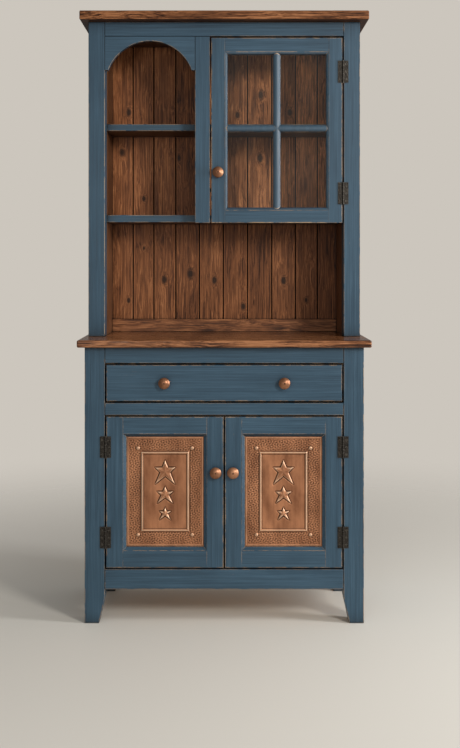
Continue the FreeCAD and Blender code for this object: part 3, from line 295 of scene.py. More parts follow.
    def edge_share(self, radius, samples=4):
        """How much a rounding of that radius would turn the face here: 0 away from edges."""
        rounded = self.add("ShaderNodeBevel", samples=samples)
        rounded.inputs["Radius"].default_value = radius
        flat = self.add("ShaderNodeNewGeometry").outputs["True Normal"]
        node = self.add("ShaderNodeVectorMath", operation="DOT_PRODUCT")
        self.put(rounded.outputs[0], node.inputs[0])
        self.put(flat, node.inputs[1])
        return self.math("SUBTRACT", 1.0, node.outputs["Value"], clamp=True)

    def eased_share(self):
        """1 on the narrow faces that ease an edge at 45 degrees, 0 elsewhere."""
        normal = self.add("ShaderNodeVectorMath", operation="ABSOLUTE")
        self.put(self.add("ShaderNodeTexCoord").outputs["Normal"], normal.inputs[0])
        x, y, z = self.split(normal.outputs[0])
        return self.near(self.larger(x, self.larger(y, z)), eased_turn, *eased_slack)

    def bump(self, height, distance, strength=0.5):
        node = self.add("ShaderNodeBump")
        node.inputs["Strength"].default_value = strength
        node.inputs["Distance"].default_value = distance
        self.put(height, node.inputs["Height"])
        self.put(node.outputs[0], self.shader.inputs["Normal"])

    def finish(self, **values):
        for name, value in values.items():
            self.put(value, self.shader.inputs[name.replace("_", " ")])
        return self.material

    def surface(self, factor, first, second):
        """Shows two shaders, mixed by factor, in place of the one that the graph began with."""
        both = self.add("ShaderNodeMixShader")
        self.put(factor, both.inputs[0])
        self.put(first, both.inputs[1])
        self.put(second, both.inputs[2])
        self.put(both.outputs[0], self.tree.nodes["Material Output"].inputs["Surface"])


def grain_axes(graph, along, rails=None):
    """Coordinates (across, depth, along) of the grain. Between the two X values of rails
    the grain lies level, as on the rails of a door between its upright stiles."""
    x, y, z = graph.split(graph.place)
    if rails:
        turned = graph.times(graph.between(x, *rails), graph.minus(z, x))
        return graph.plus(x, turned), y, graph.minus(z, turned)
    return {"x": (z, y, x), "y": (z, x, y), "z": (x, y, z)}[along]


# The values of each material stand over it. Marks are how many there are in a metre across,
# through and along the grain. Reaches, widths, radii and depths are in metres. A range is two
# values, and what it gives at them unless that is 0 and 1. Tones are display colours, after
# their places in a ramp. A dark is what is left of the colour, and a wear is a share of it.

# Paint: slate blue over pine, brushed along the grain and rubbed through at its edges, with painted shade in
# corners, in gaps, on faces turned down and near jutting parts
paint_tones = ((0.30, (35, 54, 69)), (0.50, (48, 73, 90)), (0.70, (64, 91, 110)))
bared_tones = ((0.3, (104, 78, 54)), (0.7, (196, 164, 128)))
brush_marks = (300.0, 300.0, 5.0)
paint_grain_marks = (110.0, 110.0, 2.0)
scuff_marks = (240.0, 240.0, 9.0)
paint_cloud_marks = 5.0
patch_marks = 26.0
# Painted shade: how much the paint is darkened in corners, in gaps, on faces turned down and near jutting
# parts
paint_corner_reach = 0.014
paint_corner_shade_dark = 0.3
paint_corner_shade_range = (0.10, 0.62)
case_corner_shade_range = (0.35, 0.85)
paint_underside_shade_range = (-0.8, -0.3, 0.34, 1.0)
paint_near_shade_range = (0.42, 0.92, 0.52, 1.0)
case_near_shade_reach = 0.06
leaf_near_shade_reach = 0.04
gap_shade_range = (0.84, 0.96, 1.0, 0.0)
gap_shade_dark = 0.12
paint_edge_radius = 0.0030
paint_edge_range = (0.006, 0.04)
bare_open_range = (0.48, 0.66)
bare_patch_range = (0.38, 0.54)
side_face_range = (0.8, 0.9)
side_wear = 0.4
case_wear = 0.7
rim_width_range = (0.0018, 0.0040)
rim_patch_range = (0.45, 0.64)
rim_wear = 0.8
seam_width_range = (0.0004, 0.0012)
seam_edge_range = (0.0, 0.5, 1.0, 0.35)
seam_dark = 0.72
seam_calm_range = (0.004, 0.005)
seam_wear = 0.4
scuff_range = (0.66, 0.76)
scuff_patch_range = (0.54, 0.68)
scuff_wear = 0.4
paint_gloss_range = (0.3, 0.7, 0.36, 0.52)
paint_shine = 0.36
moulding_shine = 0.6
paint_depth = 0.0004


def rubbed_share(graph, edge, corner, patchy, calm, wear, leaf):
    """Where the paint is gone: in patches on edges that lie open, not on the calm joints."""
    open_patches = graph.times(graph.range(corner, *bare_open_range), graph.range(patchy, *bare_patch_range))
    worn = graph.times(edge, open_patches)
    for joint in calm:
        worn = graph.times(worn, graph.minus(1.0, graph.inside(*joint)))
    side_on = graph.math("ABSOLUTE", graph.outward()[0])
    worn = graph.times(worn, graph.range(side_on, *side_face_range, wear, wear * side_wear))
    if leaf:
        rim = graph.rim(*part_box(leaf), *rim_width_range)
        rubbed = graph.times(rim, graph.range(patchy, *rim_patch_range))
        worn = graph.larger(worn, graph.times(rubbed, rim_wear))
    return worn


def rail_seams(graph, colour, worn, edge, rails):
    """Fine dark lines where rails meet stiles, with little wear on them."""
    x = graph.split(graph.place)[0]
    seam = graph.plus(*(graph.near(x, place, *seam_width_range) for place in rails))
    calm = graph.plus(*(graph.near(x, place, *seam_calm_range) for place in rails))
    seam = graph.times(seam, graph.range(edge, *seam_edge_range))
    return graph.gain(colour, graph.fade(seam, seam_dark)), graph.times(worn, graph.fade(calm, seam_wear))


def paint(name, along, rails=None, calm=(), wear=1.0, shade_in_corners=paint_corner_shade_range, leaf=None,
          shine=paint_shine, near_shade_reach=None):
    """Paint whose grain runs that way, or level between the X values of rails. Leaf is the
    node whose front has a rubbed rim, and calm holds the flush joints, where none rubs."""
    graph = Graph(name)
    space = graph.join(*grain_axes(graph, along, rails))
    brush = graph.noise(graph.scale(space, brush_marks), roughness=0.7)
    grain = graph.noise(graph.scale(space, paint_grain_marks), detail=2.0)
    cloud = graph.noise(graph.place, scale=paint_cloud_marks)
    patchy = graph.noise(graph.place, scale=patch_marks, detail=5.0, roughness=0.7)
    colour = graph.ramp(graph.blend((brush, 0.6), (grain, 0.15), (cloud, 0.25)), paint_tones)
    corner = graph.open_share(paint_corner_reach)
    # Painted shade: darker where the surface lies in a corner
    colour = graph.gain(colour, graph.range(corner, *shade_in_corners, paint_corner_shade_dark, 1.0))
    # Painted shade: darker on faces turned down
    colour = graph.gain(colour, graph.range(graph.outward()[2], *paint_underside_shade_range))
    # Painted shade: darker near jutting parts, as under an overhang and round a knob
    if near_shade_reach:
        colour = graph.gain(colour, graph.range(graph.open_share(near_shade_reach), *paint_near_shade_range))
    eased = graph.eased_share()
    # Painted shade: the eased faces that lie in a gap between parts are darkened
    gap = graph.times(eased, graph.range(corner, *gap_shade_range))
    colour = graph.gain(colour, graph.fade(gap, gap_shade_dark))
    edge = graph.larger(graph.range(graph.edge_share(paint_edge_radius), *paint_edge_range), eased)
    edge = graph.times(edge, graph.minus(1.0, gap))
    worn = rubbed_share(graph, edge, corner, patchy, calm, wear, leaf)
    if rails:
        colour, worn = rail_seams(graph, colour, worn, edge, rails)
    scuff = graph.noise(graph.scale(space, scuff_marks))
    scuffed = graph.times(graph.range(scuff, *scuff_range), graph.range(patchy, *scuff_patch_range))
    bare = graph.larger(worn, graph.times(scuffed, scuff_wear))
    colour = graph.mix(bare, colour, graph.ramp(brush, bared_tones))
    graph.bump(graph.blend((brush, 0.7), (grain, 0.3)), paint_depth)
    return graph.finish(Base_Color=colour, Roughness=graph.range(brush, *paint_gloss_range),
                        Specular_IOR_Level=shine)


# Stained pine: streaks that run along the grain and bend round the knots, with painted shade in corners, at
# contacts and on faces turned down, and painted light on the boards of the cubby and behind the glass
stain_tones = ((0.37, (44, 22, 11)), (0.45, (96, 57, 33)), (0.54, (134, 84, 51)), (0.63, (176, 118, 77)))
stain_edge_tone = (176, 118, 78)
board_highlight_tone = (176, 116, 74)
knot_tone = (38, 26, 19)
sway_marks = (10.0, 10.0, 2.4)
blotch_marks = (16.0, 1.0, 6.0)
pore_marks = (900.0, 30.0)
pore_range = (0.62, 0.74, 1.0, 0.55)
grain_sway = 0.07
knot_push = 0.018
knot_length = 0.6
knot_rings = (9.0, 4.0)
knot_ring_share = 0.3
knot_range = (0.30, 1.00, 0.0, 0.90)
board_seed = 0.37
board_shift = 7.0
board_contrast = 0.045
board_highlight_outer = (0.0040, 0.0056)
board_highlight_inner = (0.0020, 0.0032)
board_highlight_patches = (0.35, 0.6, 0.15, 0.55)
board_gap_width = (0.0018, 0.0030)
board_gap_dark = 0.04
stain_corner_reach = 0.02
stain_corner_shade_range = (0.15, 0.75, 0.35, 1.0)
stain_contact_shade_reach = 0.007
stain_contact_shade_range = (0.45, 0.8, 0.2, 1.0)
stain_underside_shade_range = (-0.9, -0.5, 0.3, 1.0)
stain_edge_radius = 0.0026
stain_edge_range = (0.015, 0.12)
stain_edge_open = (0.5, 0.75)
stain_edge_patches = (0.4, 0.6, 0.05, 0.42)
stain_gloss_span = (0.3, 0.7)
stain_depth = 0.0006


def knot_field(graph, across, length, knots):
    """1 in the middle of each knot, falling off round it, and more slowly along the grain."""
    field = 0.0
    for place_across, place_along, radius in knots:
        far_across = graph.times(graph.minus(across, place_across), 1.0 / radius)
        far_along = graph.times(graph.minus(length, place_along), knot_length / radius)
        square = graph.plus(graph.times(far_across, far_across), graph.times(far_along, far_along))
        field = graph.plus(field, graph.math("EXPONENT", graph.times(square, -1.0)))
    return field


def board_pick(graph, across, joints):
    """A number from 0 to 1 for each board between the joints."""
    board = 0.0
    for joint in joints:
        board = graph.plus(board, graph.math("GREATER_THAN", across, joint))
    chance = graph.add("ShaderNodeTexWhiteNoise", noise_dimensions="1D")
    graph.put(graph.plus(board, board_seed), chance.inputs["W"])
    return chance.outputs["Value"]


def board_edges(graph, colour, across, joints, sway, light):
    """Dark gaps between boards, with a painted highlight on the eased edges beside them."""
    for joint in joints:
        # Painted highlight along the eased edges beside each joint
        outer = graph.near(across, joint, *board_highlight_outer)
        rim = graph.minus(outer, graph.near(across, joint, *board_highlight_inner))
        rim = graph.times(graph.larger(rim, 0.0), graph.range(sway, *board_highlight_patches))
        colour = graph.mix(rim, colour, tone(*(part * light for part in board_highlight_tone)))
        gap = graph.near(across, joint, *board_gap_width)
        colour = graph.gain(colour, graph.fade(gap, board_gap_dark))
    return colour


def painted_light_on_boards(graph, colour, painted_light):
    """Painted light: lightens the fronts in each X and Z box, by one gain at its left and one at its right.
    """
    x = graph.split(graph.place)[0]
    for box, gains in painted_light:
        painted_lift = graph.range(x, *box[:2], *gains)
        painted_lift = graph.times(painted_lift, graph.math("LESS_THAN", graph.outward()[1], mostly_front))
        colour = graph.gain(colour, graph.plus(graph.times(graph.inside(*box), painted_lift), 1.0))
    return colour


def stain(name, along, joints=(), knots=(), fine=(260.0, 9.0), flame=(130.0, 3.2), gloss=(0.40, 0.55),
          shine=0.3, light=1.0, contrast=1.0, painted_light=()):
    """Stain over one board, or over boards that meet at the joints. Fine and flame are the
    streaks in a metre across and along the grain."""
    graph = Graph(name)
    across, depth, length = grain_axes(graph, along)
    pick = board_pick(graph, across, joints)
    field = knot_field(graph, across, length, knots)
    moved = graph.plus(length, graph.times(pick, board_shift))
    straight = graph.join(across, depth, moved)
    sway = graph.noise(graph.scale(straight, sway_marks))
    bend = graph.blend((sway, grain_sway), (field, knot_push))
    bent = graph.join(graph.plus(across, bend), graph.plus(depth, bend), moved)

    def streaks(wide, long, detail, roughness):
        return graph.noise(graph.scale(bent, (wide, wide, long)), detail=detail, roughness=roughness)

    lines = streaks(*fine, detail=4.0, roughness=0.72)
    figure = streaks(*flame, detail=3.0, roughness=0.55)
    blotch = graph.noise(graph.scale(straight, blotch_marks))
    shade = graph.blend((lines, 0.62), (figure, 0.20), (blotch, 0.18))
    shade = graph.plus(graph.times(graph.minus(shade, 0.5), contrast), 0.5)
    shade = graph.plus(shade, graph.times(graph.minus(pick, 0.5), board_contrast))
    colour = graph.ramp(shade, stain_tones, light)
    pores = streaks(*pore_marks, detail=1.0, roughness=0.5)
    colour = graph.gain(colour, graph.range(pores, *pore_range))
    if knots:
        rings = graph.join(graph.times(field, knot_rings[0]), graph.times(pick, knot_rings[1]), 0.5)
        ring = graph.times(graph.noise(rings, detail=1.0), knot_ring_share)
        colour = graph.mix(graph.range(graph.plus(field, ring), *knot_range), colour, tone(*knot_tone))
    colour = board_edges(graph, colour, across, joints, sway, light)
    corner = graph.open_share(stain_corner_reach)
    # Painted shade: darker in corners
    colour = graph.gain(colour, graph.range(corner, *stain_corner_shade_range))
    # Painted shade: dark lines where parts touch
    colour = graph.gain(colour, graph.range(graph.open_share(stain_contact_shade_reach), *stain_contact_shade_range))
    # Painted shade: darker on faces turned down
    colour = graph.gain(colour, graph.range(graph.outward()[2], *stain_underside_shade_range))
    # Painted light: paler fronts on the boards of the cubby and behind the glass
    colour = painted_light_on_boards(graph, colour, painted_light)
    edge = graph.range(graph.edge_share(stain_edge_radius), *stain_edge_range)
    edge = graph.times(edge, graph.range(corner, *stain_edge_open))
    edge = graph.times(edge, graph.range(blotch, *stain_edge_patches))
    colour = graph.mix(edge, colour, tone(*stain_edge_tone))
    graph.bump(graph.blend((lines, 0.6), (figure, 0.4)), stain_depth)
    return graph.finish(Base_Color=colour, Roughness=graph.range(lines, *stain_gloss_span, *gloss),
                        Specular_IOR_Level=shine)


# Bare pine, for the backs and insides, with painted shade in its corners
pine_tones = ((0.35, (150, 106, 66)), (0.5, (188, 146, 99)), (0.65, (209, 172, 124)))
pine_knot_tone = (96, 58, 32)
pine_sway_marks = (6.0, 6.0, 1.2)
pine_sway = 0.06
pine_figure_marks = (95.0, 60.0, 1.4)
pine_fine_marks = (500.0, 500.0, 9.0)
pine_knot_marks = (4.5, 4.5, 2.2)
pine_knot_range = (0.035, 0.07, 0.85, 0.0)
pine_corner_shade_reach = 0.03
pine_corner_shade_range = (0.2, 0.9, 0.6, 1.0)
pine_depth = 0.0005


def bare_pine(name, along):
    graph = Graph(name)
    across, depth, length = grain_axes(graph, along)
    space = graph.join(across, depth, length)
    sway = graph.noise(graph.scale(space, pine_sway_marks))
    bent = graph.join(graph.plus(across, graph.times(sway, pine_sway)), depth, length)
    figure = graph.noise(graph.scale(bent, pine_figure_marks))
    fine = graph.noise(graph.scale(bent, pine_fine_marks))
    knot = graph.cells(graph.scale(space, pine_knot_marks))
    shade = graph.blend((figure, 0.6), (fine, 0.4))
    colour = graph.ramp(shade, pine_tones)
    colour = graph.mix(graph.range(knot, *pine_knot_range), colour, tone(*pine_knot_tone))
    # Painted shade: darker in corners
    colour = graph.gain(colour, graph.range(graph.open_share(pine_corner_shade_reach), *pine_corner_shade_range))
    graph.bump(shade, pine_depth)
    return graph.finish(Base_Color=colour, Roughness=0.62)


# Copper: brown patina in the hollows and brighter metal where hands and cloths reach
knob_tones = ((0.36, (124, 80, 54)), (0.64, (184, 132, 98)))
sheet_tones = ((0.36, (138, 90, 63)), (0.64, (192, 134, 97)))
sheet_hollow_tone = (56, 40, 30)
sheet_hollow_range = (0.5, 0.85, 0.0, 0.95)
sheet_crest_tone = (230, 193, 161)
sheet_crest_range = (0.45, 0.10, 0.0, 0.9)
knob_hollow_tone = (52, 28, 17)
knob_hollow_reach = 0.012
knob_hollow_range = (0.35, 0.95, 1.0, 0.0)
dimple_tone = (40, 18, 10)
dimple_range = (0.0014, 0.0034, 0.85, 0.0)
copper_cloud_marks = (22.0, 22.0, 9.0)
drawn_marks = (160.0, 160.0, 4.0)
fleck_marks = 420.0
copper_gloss_span = (0.4, 0.9)
copper_gloss_spread = 0.14
copper_depth = 0.00025


def copper(name, tones, rough, pressed=False, dimples=(), coat=0.0):
    """Copper of a pressed sheet, or of knobs with a small dark dimple in each middle."""
    graph = Graph(name)
    cloud = graph.noise(graph.scale(graph.place, copper_cloud_marks), roughness=0.6)
    drawn = graph.noise(graph.scale(graph.place, drawn_marks), detail=2.0)
    fleck = graph.noise(graph.place, scale=fleck_marks, detail=2.0)
    colour = graph.ramp(graph.blend((cloud, 0.72), (drawn, 0.13), (fleck, 0.15)), tones)
    if pressed:
        hollow = graph.add("ShaderNodeAttribute", attribute_name="hollow").outputs["Fac"]
        colour = graph.mix(graph.range(hollow, *sheet_hollow_range), colour, tone(*sheet_hollow_tone))
        colour = graph.mix(graph.range(hollow, *sheet_crest_range), colour, tone(*sheet_crest_tone))
    else:
        hollow = graph.open_share(knob_hollow_reach, samples=8)
        colour = graph.mix(graph.range(hollow, *knob_hollow_range), colour, tone(*knob_hollow_tone))
    x, _, z = graph.split(graph.place)
    for dimple_x, dimple_z in dimples:
        off_x = graph.minus(x, dimple_x)
        off_z = graph.minus(z, dimple_z)
        far = graph.math("SQRT", graph.plus(graph.times(off_x, off_x), graph.times(off_z, off_z)))
        colour = graph.mix(graph.range(far, *dimple_range), colour, tone(*dimple_tone))
    spread = graph.plus(cloud, graph.times(fleck, 0.3))
    gloss = graph.range(spread, *copper_gloss_span, rough, rough + copper_gloss_spread)
    graph.bump(graph.plus(graph.times(fleck, 0.4), drawn), copper_depth, strength=0.35)
    return graph.finish(Base_Color=colour, Roughness=gloss, Metallic=0.86, Coat_Weight=coat,
                        Coat_Roughness=0.25)


# Hammered iron for the hinges
iron_tones = ((0.3, (26, 24, 22)), (0.7, (66, 61, 55)))
iron_edge_tone = (150, 144, 134)
iron_edge_radius = 0.0008
iron_edge_range = (0.03, 0.2)
iron_edge_share = 0.6
iron_gloss_range = (0.3, 0.7, 0.36, 0.58)
dent_marks = 260.0
dent_depth = 0.0012
iron_cloud_marks = 60.0


def iron(name):
    graph = Graph(name)
    dent = graph.cells(graph.place, scale=dent_marks, smooth=True)
    cloud = graph.noise(graph.place, scale=iron_cloud_marks, detail=4.0, roughness=0.7)
    colour = graph.ramp(graph.blend((dent, 0.5), (cloud, 0.6)), iron_tones)
    edge = graph.range(graph.edge_share(iron_edge_radius), *iron_edge_range)
    colour = graph.mix(graph.times(edge, iron_edge_share), colour, tone(*iron_edge_tone))
    graph.bump(dent, dent_depth, strength=0.8)
    return graph.finish(Base_Color=colour, Roughness=graph.range(cloud, *iron_gloss_range), Metallic=0.85)


# Zinc plated steel for the screws and straps
steel_tones = ((0.3, (120, 118, 114)), (0.7, (176, 174, 168)))
steel_gloss_range = (0.3, 0.7, 0.28, 0.42)
steel_marks = 180.0
steel_depth = 0.0002


def steel(name):
    graph = Graph(name)
    cloud = graph.noise(graph.place, scale=steel_marks)
    colour = graph.ramp(cloud, steel_tones)
    graph.bump(cloud, steel_depth, strength=0.4)
    return graph.finish(Base_Color=colour, Roughness=graph.range(cloud, *steel_gloss_range), Metallic=1.0)


# Brown moulded plastic for the magnet catches
plastic_tones = ((0.3, (66, 44, 30)), (0.7, (82, 56, 40)))
plastic_marks = 900.0
plastic_depth = 0.0001


def plastic(name):
    graph = Graph(name)
    grainy = graph.noise(graph.place, scale=plastic_marks, detail=1.0)
    colour = graph.ramp(grainy, plastic_tones)
    graph.bump(grainy, plastic_depth, strength=0.4)
    return graph.finish(Base_Color=colour, Roughness=0.5)


# Clear sheet glass, with a faint haze where it was wiped
glass_tint = (0.96, 0.975, 0.97, 1.0)
glass_sheen_tint = (0.95, 0.96, 0.95, 1.0)
glass_bend = 1.5
glass_mirror_share = 0.6
wipe_marks = (14.0, 14.0, 5.0)
wipe_haze_range = (0.3, 0.8, 0.006, 0.028)
wipe_gloss_range = (0.4, 0.8, 0.02, 0.09)


def glass(name):
    graph = Graph(name)
    wiped = graph.noise(graph.scale(graph.place, wipe_marks))
    mirror = graph.add("ShaderNodeFresnel")
    mirror.inputs["IOR"].default_value = glass_bend
    front = graph.minus(1.0, graph.add("ShaderNodeNewGeometry").outputs["Backfacing"])
    mirrored = graph.times(mirror.outputs[0], glass_mirror_share)
    haze = graph.plus(mirrored, graph.range(wiped, *wipe_haze_range))
    clear = graph.add("ShaderNodeBsdfTransparent")
    clear.inputs["Color"].default_value = glass_tint
    gloss = graph.add("ShaderNodeBsdfGlossy")
    gloss.inputs["Color"].default_value = glass_sheen_tint
    graph.put(graph.range(wiped, *wipe_gloss_range), gloss.inputs["Roughness"])
    graph.surface(graph.times(haze, front), clear.outputs[0], gloss.outputs[0])
    graph.tree.nodes.remove(graph.shader)
    return graph.material


def dress(material, *names):
    """Gives every material slot of these nodes the material."""
    for name in names:
        slots = nodes[name].data.materials
        if not slots:
            slots.append(material)
        for index in range(len(slots)):
            slots[index] = material


def between_stiles(node, stile):
    """X values of the two joints between the rails and the stiles of a door."""
    low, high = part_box(node)
    return low.x + stile, high.x - stile


def board_joints(node, shares):
    """X values of the joints between boards whose widths are these shares of the node's."""
    low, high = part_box(node)
    edge = low.x
    joints = []
    for share in shares[:-1]:
        edge += (high.x - low.x) * share / sum(shares)
        joints.append(edge)
    return joints


def painted_light_boxes(cubby_gains, glazed_gains):
    """X and Z ranges of the boards of the cubby and of those behind the glass, with the gains
    of painted light that lift each at its left and at its right."""
    low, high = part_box("hutch_side_linings")
    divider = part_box("hutch_divider")[1].x
    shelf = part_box("hutch_bottom_shelf")[1].z
    cubby = (low.x, divider, shelf, high.z)
    glazed = (divider, high.x, shelf, high.z)
    return (cubby, cubby_gains), (glazed, glazed_gains)


def flush_joints(near=0.003, far=3.0):
    """X and Z ranges of the joints where painted pieces lie flush and no edge rubs. Near is
    how far a range passes the joint, and far lies beyond the whole object."""
    arch_low, arch_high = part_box("hutch_arch_board")
    stile_low, stile_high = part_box("hutch_mid_stile")
    rail_low, rail_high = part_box("hutch_top_rail")
    middle = (stile_low.x + stile_high.x) / 2
    ranges = [
        (-far, arch_low.x + near, arch_low.z, far),
        (arch_high.x - near, middle, arch_low.z, far),
        (-far, stile_high.x, rail_low.z - near, rail_low.z + near),
        (rail_high.x - near, far, rail_low.z + near, far),
    ]
    for name in ("base_top_rail", "base_mid_rail", "base_bottom_rail"):
        low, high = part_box(name)
        ranges.append((-far, low.x + near, low.z + near, high.z - near))
        ranges.append((high.x - near, far, low.z + near, high.z - near))
    return ranges


def knob_middles(names):
    """X and Z of the middle of each knob: those of one node lie at its two ends. Rounding
    makes one of the two that a single knob gives."""
    middles = set()
    for name in names:
        low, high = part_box(name)
        radius = (high.z - low.z) / 2
        for x in (low.x + radius, high.x - radius):
            middles.add((round(x, 5), round((low.z + high.z) / 2, 5)))
    return sorted(middles)


def star_outline(width, height, lift):
    """The star's points in order, from its top round to the left."""
    right = [(x * width, y * height + lift) for x, y in star_half]
    left = [(-x, y) for x, y in right[-2:0:-1]]
    return np.array(right + left)


def smooth(values, low, high):
    """0 up to low, 1 from high on, eased between them."""
    share = np.clip((values - low) / (high - low), 0, 1)
    return share * share * (3 - 2 * share)


def star_height(u, v, width, height, lift):
    """Height of one embossed star over the grid: a wall, then facets up to the middle."""
    outline = star_outline(width, height, lift)
    centre = np.array((0.0, lift + star_centre_lift * height))
    inside = np.full(u.shape, np.inf)
    away = np.full(u.shape, np.inf)
    for start, end in zip(outline, np.roll(outline, -1, axis=0)):
        one, two = start - centre, end - centre
        area = one[0] * two[1] - one[1] * two[0]
        pu, pv = u - centre[0], v - centre[1]
        first = (pu * two[1] - pv * two[0]) / area
        second = (one[0] * pv - one[1] * pu) / area
        facet = (first >= -star_seam_slack) & (second >= -star_seam_slack)
        inside = np.minimum(inside, np.where(facet, first + second, np.inf))
        side = end - start
        share = np.clip(((u - start[0]) * side[0] + (v - start[1]) * side[1]) / (side @ side), 0, 1)
        away = np.minimum(away, np.hypot(u - start[0] - share * side[0], v - start[1] - share * side[1]))
    raised = star_wall * smooth(away, 0, star_wall_width) + (star_peak - star_wall) * (1 - inside)
    groove = -star_groove * np.exp(-(((away - star_groove_width) / star_groove_width) ** 2))
    return np.where(inside <= 1, raised, groove * (away < star_groove_reach * star_groove_width))


def tooling(u, v):
    """Short winding marks, as level waves that cross in many directions."""
    marks = np.zeros(u.shape)
    for index in range(punch_waves):
        turn = punch_way_turn * index
        pitch = punch_pitch * (1 + punch_pitch_spread * math.sin(punch_pitch_turn * index))
        along = u * math.cos(turn) + v * math.sin(turn)
        marks += np.cos(2 * math.pi * along / pitch + punch_phase_turn * index)
    return np.clip(marks / math.sqrt(punch_waves), -1, 1)


def relief(u, v):
    """Height of the pressed copper over its plain face, in millimetres, and its tarnish."""
    to_frame = np.maximum(np.abs(u) - frame_width / 2, np.abs(v) - frame_height / 2)
    to_rim = np.maximum(np.abs(u) - opening_width / 2, np.abs(v) - opening_height / 2)
    across = np.clip((to_frame + bead_width / 2) / (bead_width / 2), -1, 1)
    height = bead_height * np.sqrt(np.maximum(0, 1 - across * across))
    foot = (np.abs(to_frame) - bead_width / 2 - bead_groove_width / 2) / bead_groove_width
    height -= bead_groove * np.exp(-(foot * foot)) * (np.abs(to_frame) > bead_width / 2)
    punched = smooth(to_frame, punch_margin, punch_margin + punch_ease)
    punched = punched * smooth(-to_rim, plain_rim - plain_rim_ease, plain_rim + plain_rim_ease)
    for side_u in (-1, 1):
        for side_v in (-1, 1):
            boss_u = side_u * (frame_width / 2 + boss_outset[0])
            boss_v = side_v * (frame_height / 2 + boss_outset[1])
            far = np.hypot(u - boss_u, v - boss_v)
            height += boss_height * np.sqrt(np.maximum(0, 1 - (far / boss_radius) ** 2))
            punched = punched * smooth(far, boss_radius, boss_radius + boss_clear)
    height += punch_height * punched * tooling(u, v)
    height += rim_ridge * np.exp(-(((to_rim + rim_ridge_place) / rim_ridge_width) ** 2))
    for star in star_sizes:
        height += np.where(to_frame < -bead_width, star_height(u, v, *star), 0)
    return height, tooled_tarnish * punched


def hollows(height, tarnish):
    """Towards 1 in a hollow and towards 0 on a crest, from how high the ground lies round it."""
    around = height.copy()
    for _ in range(hollow_rounds):
        padded = np.pad(around, 1, mode="edge")
        around = (padded[:-2, 1:-1] + padded[2:, 1:-1] + padded[1:-1, :-2] + padded[1:-1, 2:]) / 4
    return np.clip(even_ground + (around - height) / hollow_span + tarnish, 0, 1)


def pressed_mesh(name, low, high):
    """A pressed sheet in that box, with how hollow each point lies: a dense smooth front,
    four edges and a back."""
    middle = (low + high) / 2
    count_x = round((high.x - low.x) / MM / grid_step)
    count_z = round((high.z - low.z) / MM / grid_step)
    u, v = np.meshgrid(
        np.linspace(low.x - middle.x, high.x - middle.x, count_x + 1) / MM,
        np.linspace(low.z - middle.z, high.z - middle.z, count_z + 1) / MM,
    )
    height, tarnish = relief(u, v)
    face = high.y / MM - sheet_thickness
    front = np.stack((u + middle.x / MM, face - height, v + middle.z / MM), axis=-1).reshape(-1, 3)
    index = np.arange(u.size).reshape(u.shape)
    quads = np.stack((index[:-1, :-1], index[:-1, 1:], index[1:, 1:], index[1:, :-1]), axis=-1)
    faces = quads.reshape(-1, 4).tolist()
    front_faces = len(faces)
    rim = np.concatenate((index[0, :-1], index[:-1, -1], index[-1, :0:-1], index[:0:-1, 0])).tolist()
    back = front[rim].copy()
    back[:, 1] = high.y / MM
    first_back = len(front)
    for step in range(len(rim)):
        after = (step + 1) % len(rim)
        faces.append([rim[after], rim[step], first_back + step, first_back + after])
    faces.append(list(range(first_back + len(rim) - 1, first_back - 1, -1)))
    mesh = bpy.data.meshes.new(name)
    mesh.from_pydata((np.concatenate((front, back)) * MM).tolist(), [], faces)
    mesh.update()
    values = np.concatenate((hollows(height, tarnish).ravel(), np.full(len(back), even_ground)))
    mesh.attributes.new("hollow", "FLOAT", "POINT").data.foreach_set("value", values)
    for polygon in mesh.polygons:
        polygon.use_smooth = polygon.index < front_faces
    return mesh


def copper_sheet(name, node, body, material):
    """A pressed sheet in the place of the plain one."""
    mesh = pressed_mesh(name, *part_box(node))
    mesh.materials.append(material)
    piece = bpy.data.objects.new(name, mesh)
    bpy.context.scene.collection.objects.link(piece)
    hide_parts(node)
    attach(piece, body)


# Painted pieces, by the way that their grain runs
case_paint = {
    "calm": flush_joints(),
    "wear": case_wear,
    "shade_in_corners": case_corner_shade_range,
    "near_shade_reach": case_near_shade_reach,
}
dress(paint("paint_upright", "z", **case_paint), "base_front_posts", "base_rear_posts", "base_side_panels",
      "hutch_front_posts", "hutch_rear_posts", "hutch_side_panels", "hutch_mid_stile")
dress(paint("paint_level", "x", **case_paint), "base_bottom_rail", "base_mid_rail", "base_top_rail",
      "hutch_top_rail", "hutch_arch_board", "hutch_shelf_edges")
dress(paint("paint_drawer", "x", leaf="drawer_front", near_shade_reach=leaf_near_shade_reach), "drawer_front")
dress(paint("paint_deep", "y"), "base_side_rails", "hutch_side_rails")
dress(paint("paint_bars", "z", shine=moulding_shine), "glazed_door_bars", "glazed_door_beads")
stile_flats = {
    "left_door": lower_stile_flat,
    "right_door": lower_stile_flat,
    "glazed_door": glazed_stile_flat,
}
for door, stile in stile_flats.items():
    leaf = door + "_frame"
    door_paint = paint("paint_" + leaf, "z", rails=between_stiles(leaf, stile), leaf=leaf,
                       near_shade_reach=leaf_near_shade_reach)
    dress(door_paint, leaf)

# Stained pieces
boards = "hutch_back_boards"
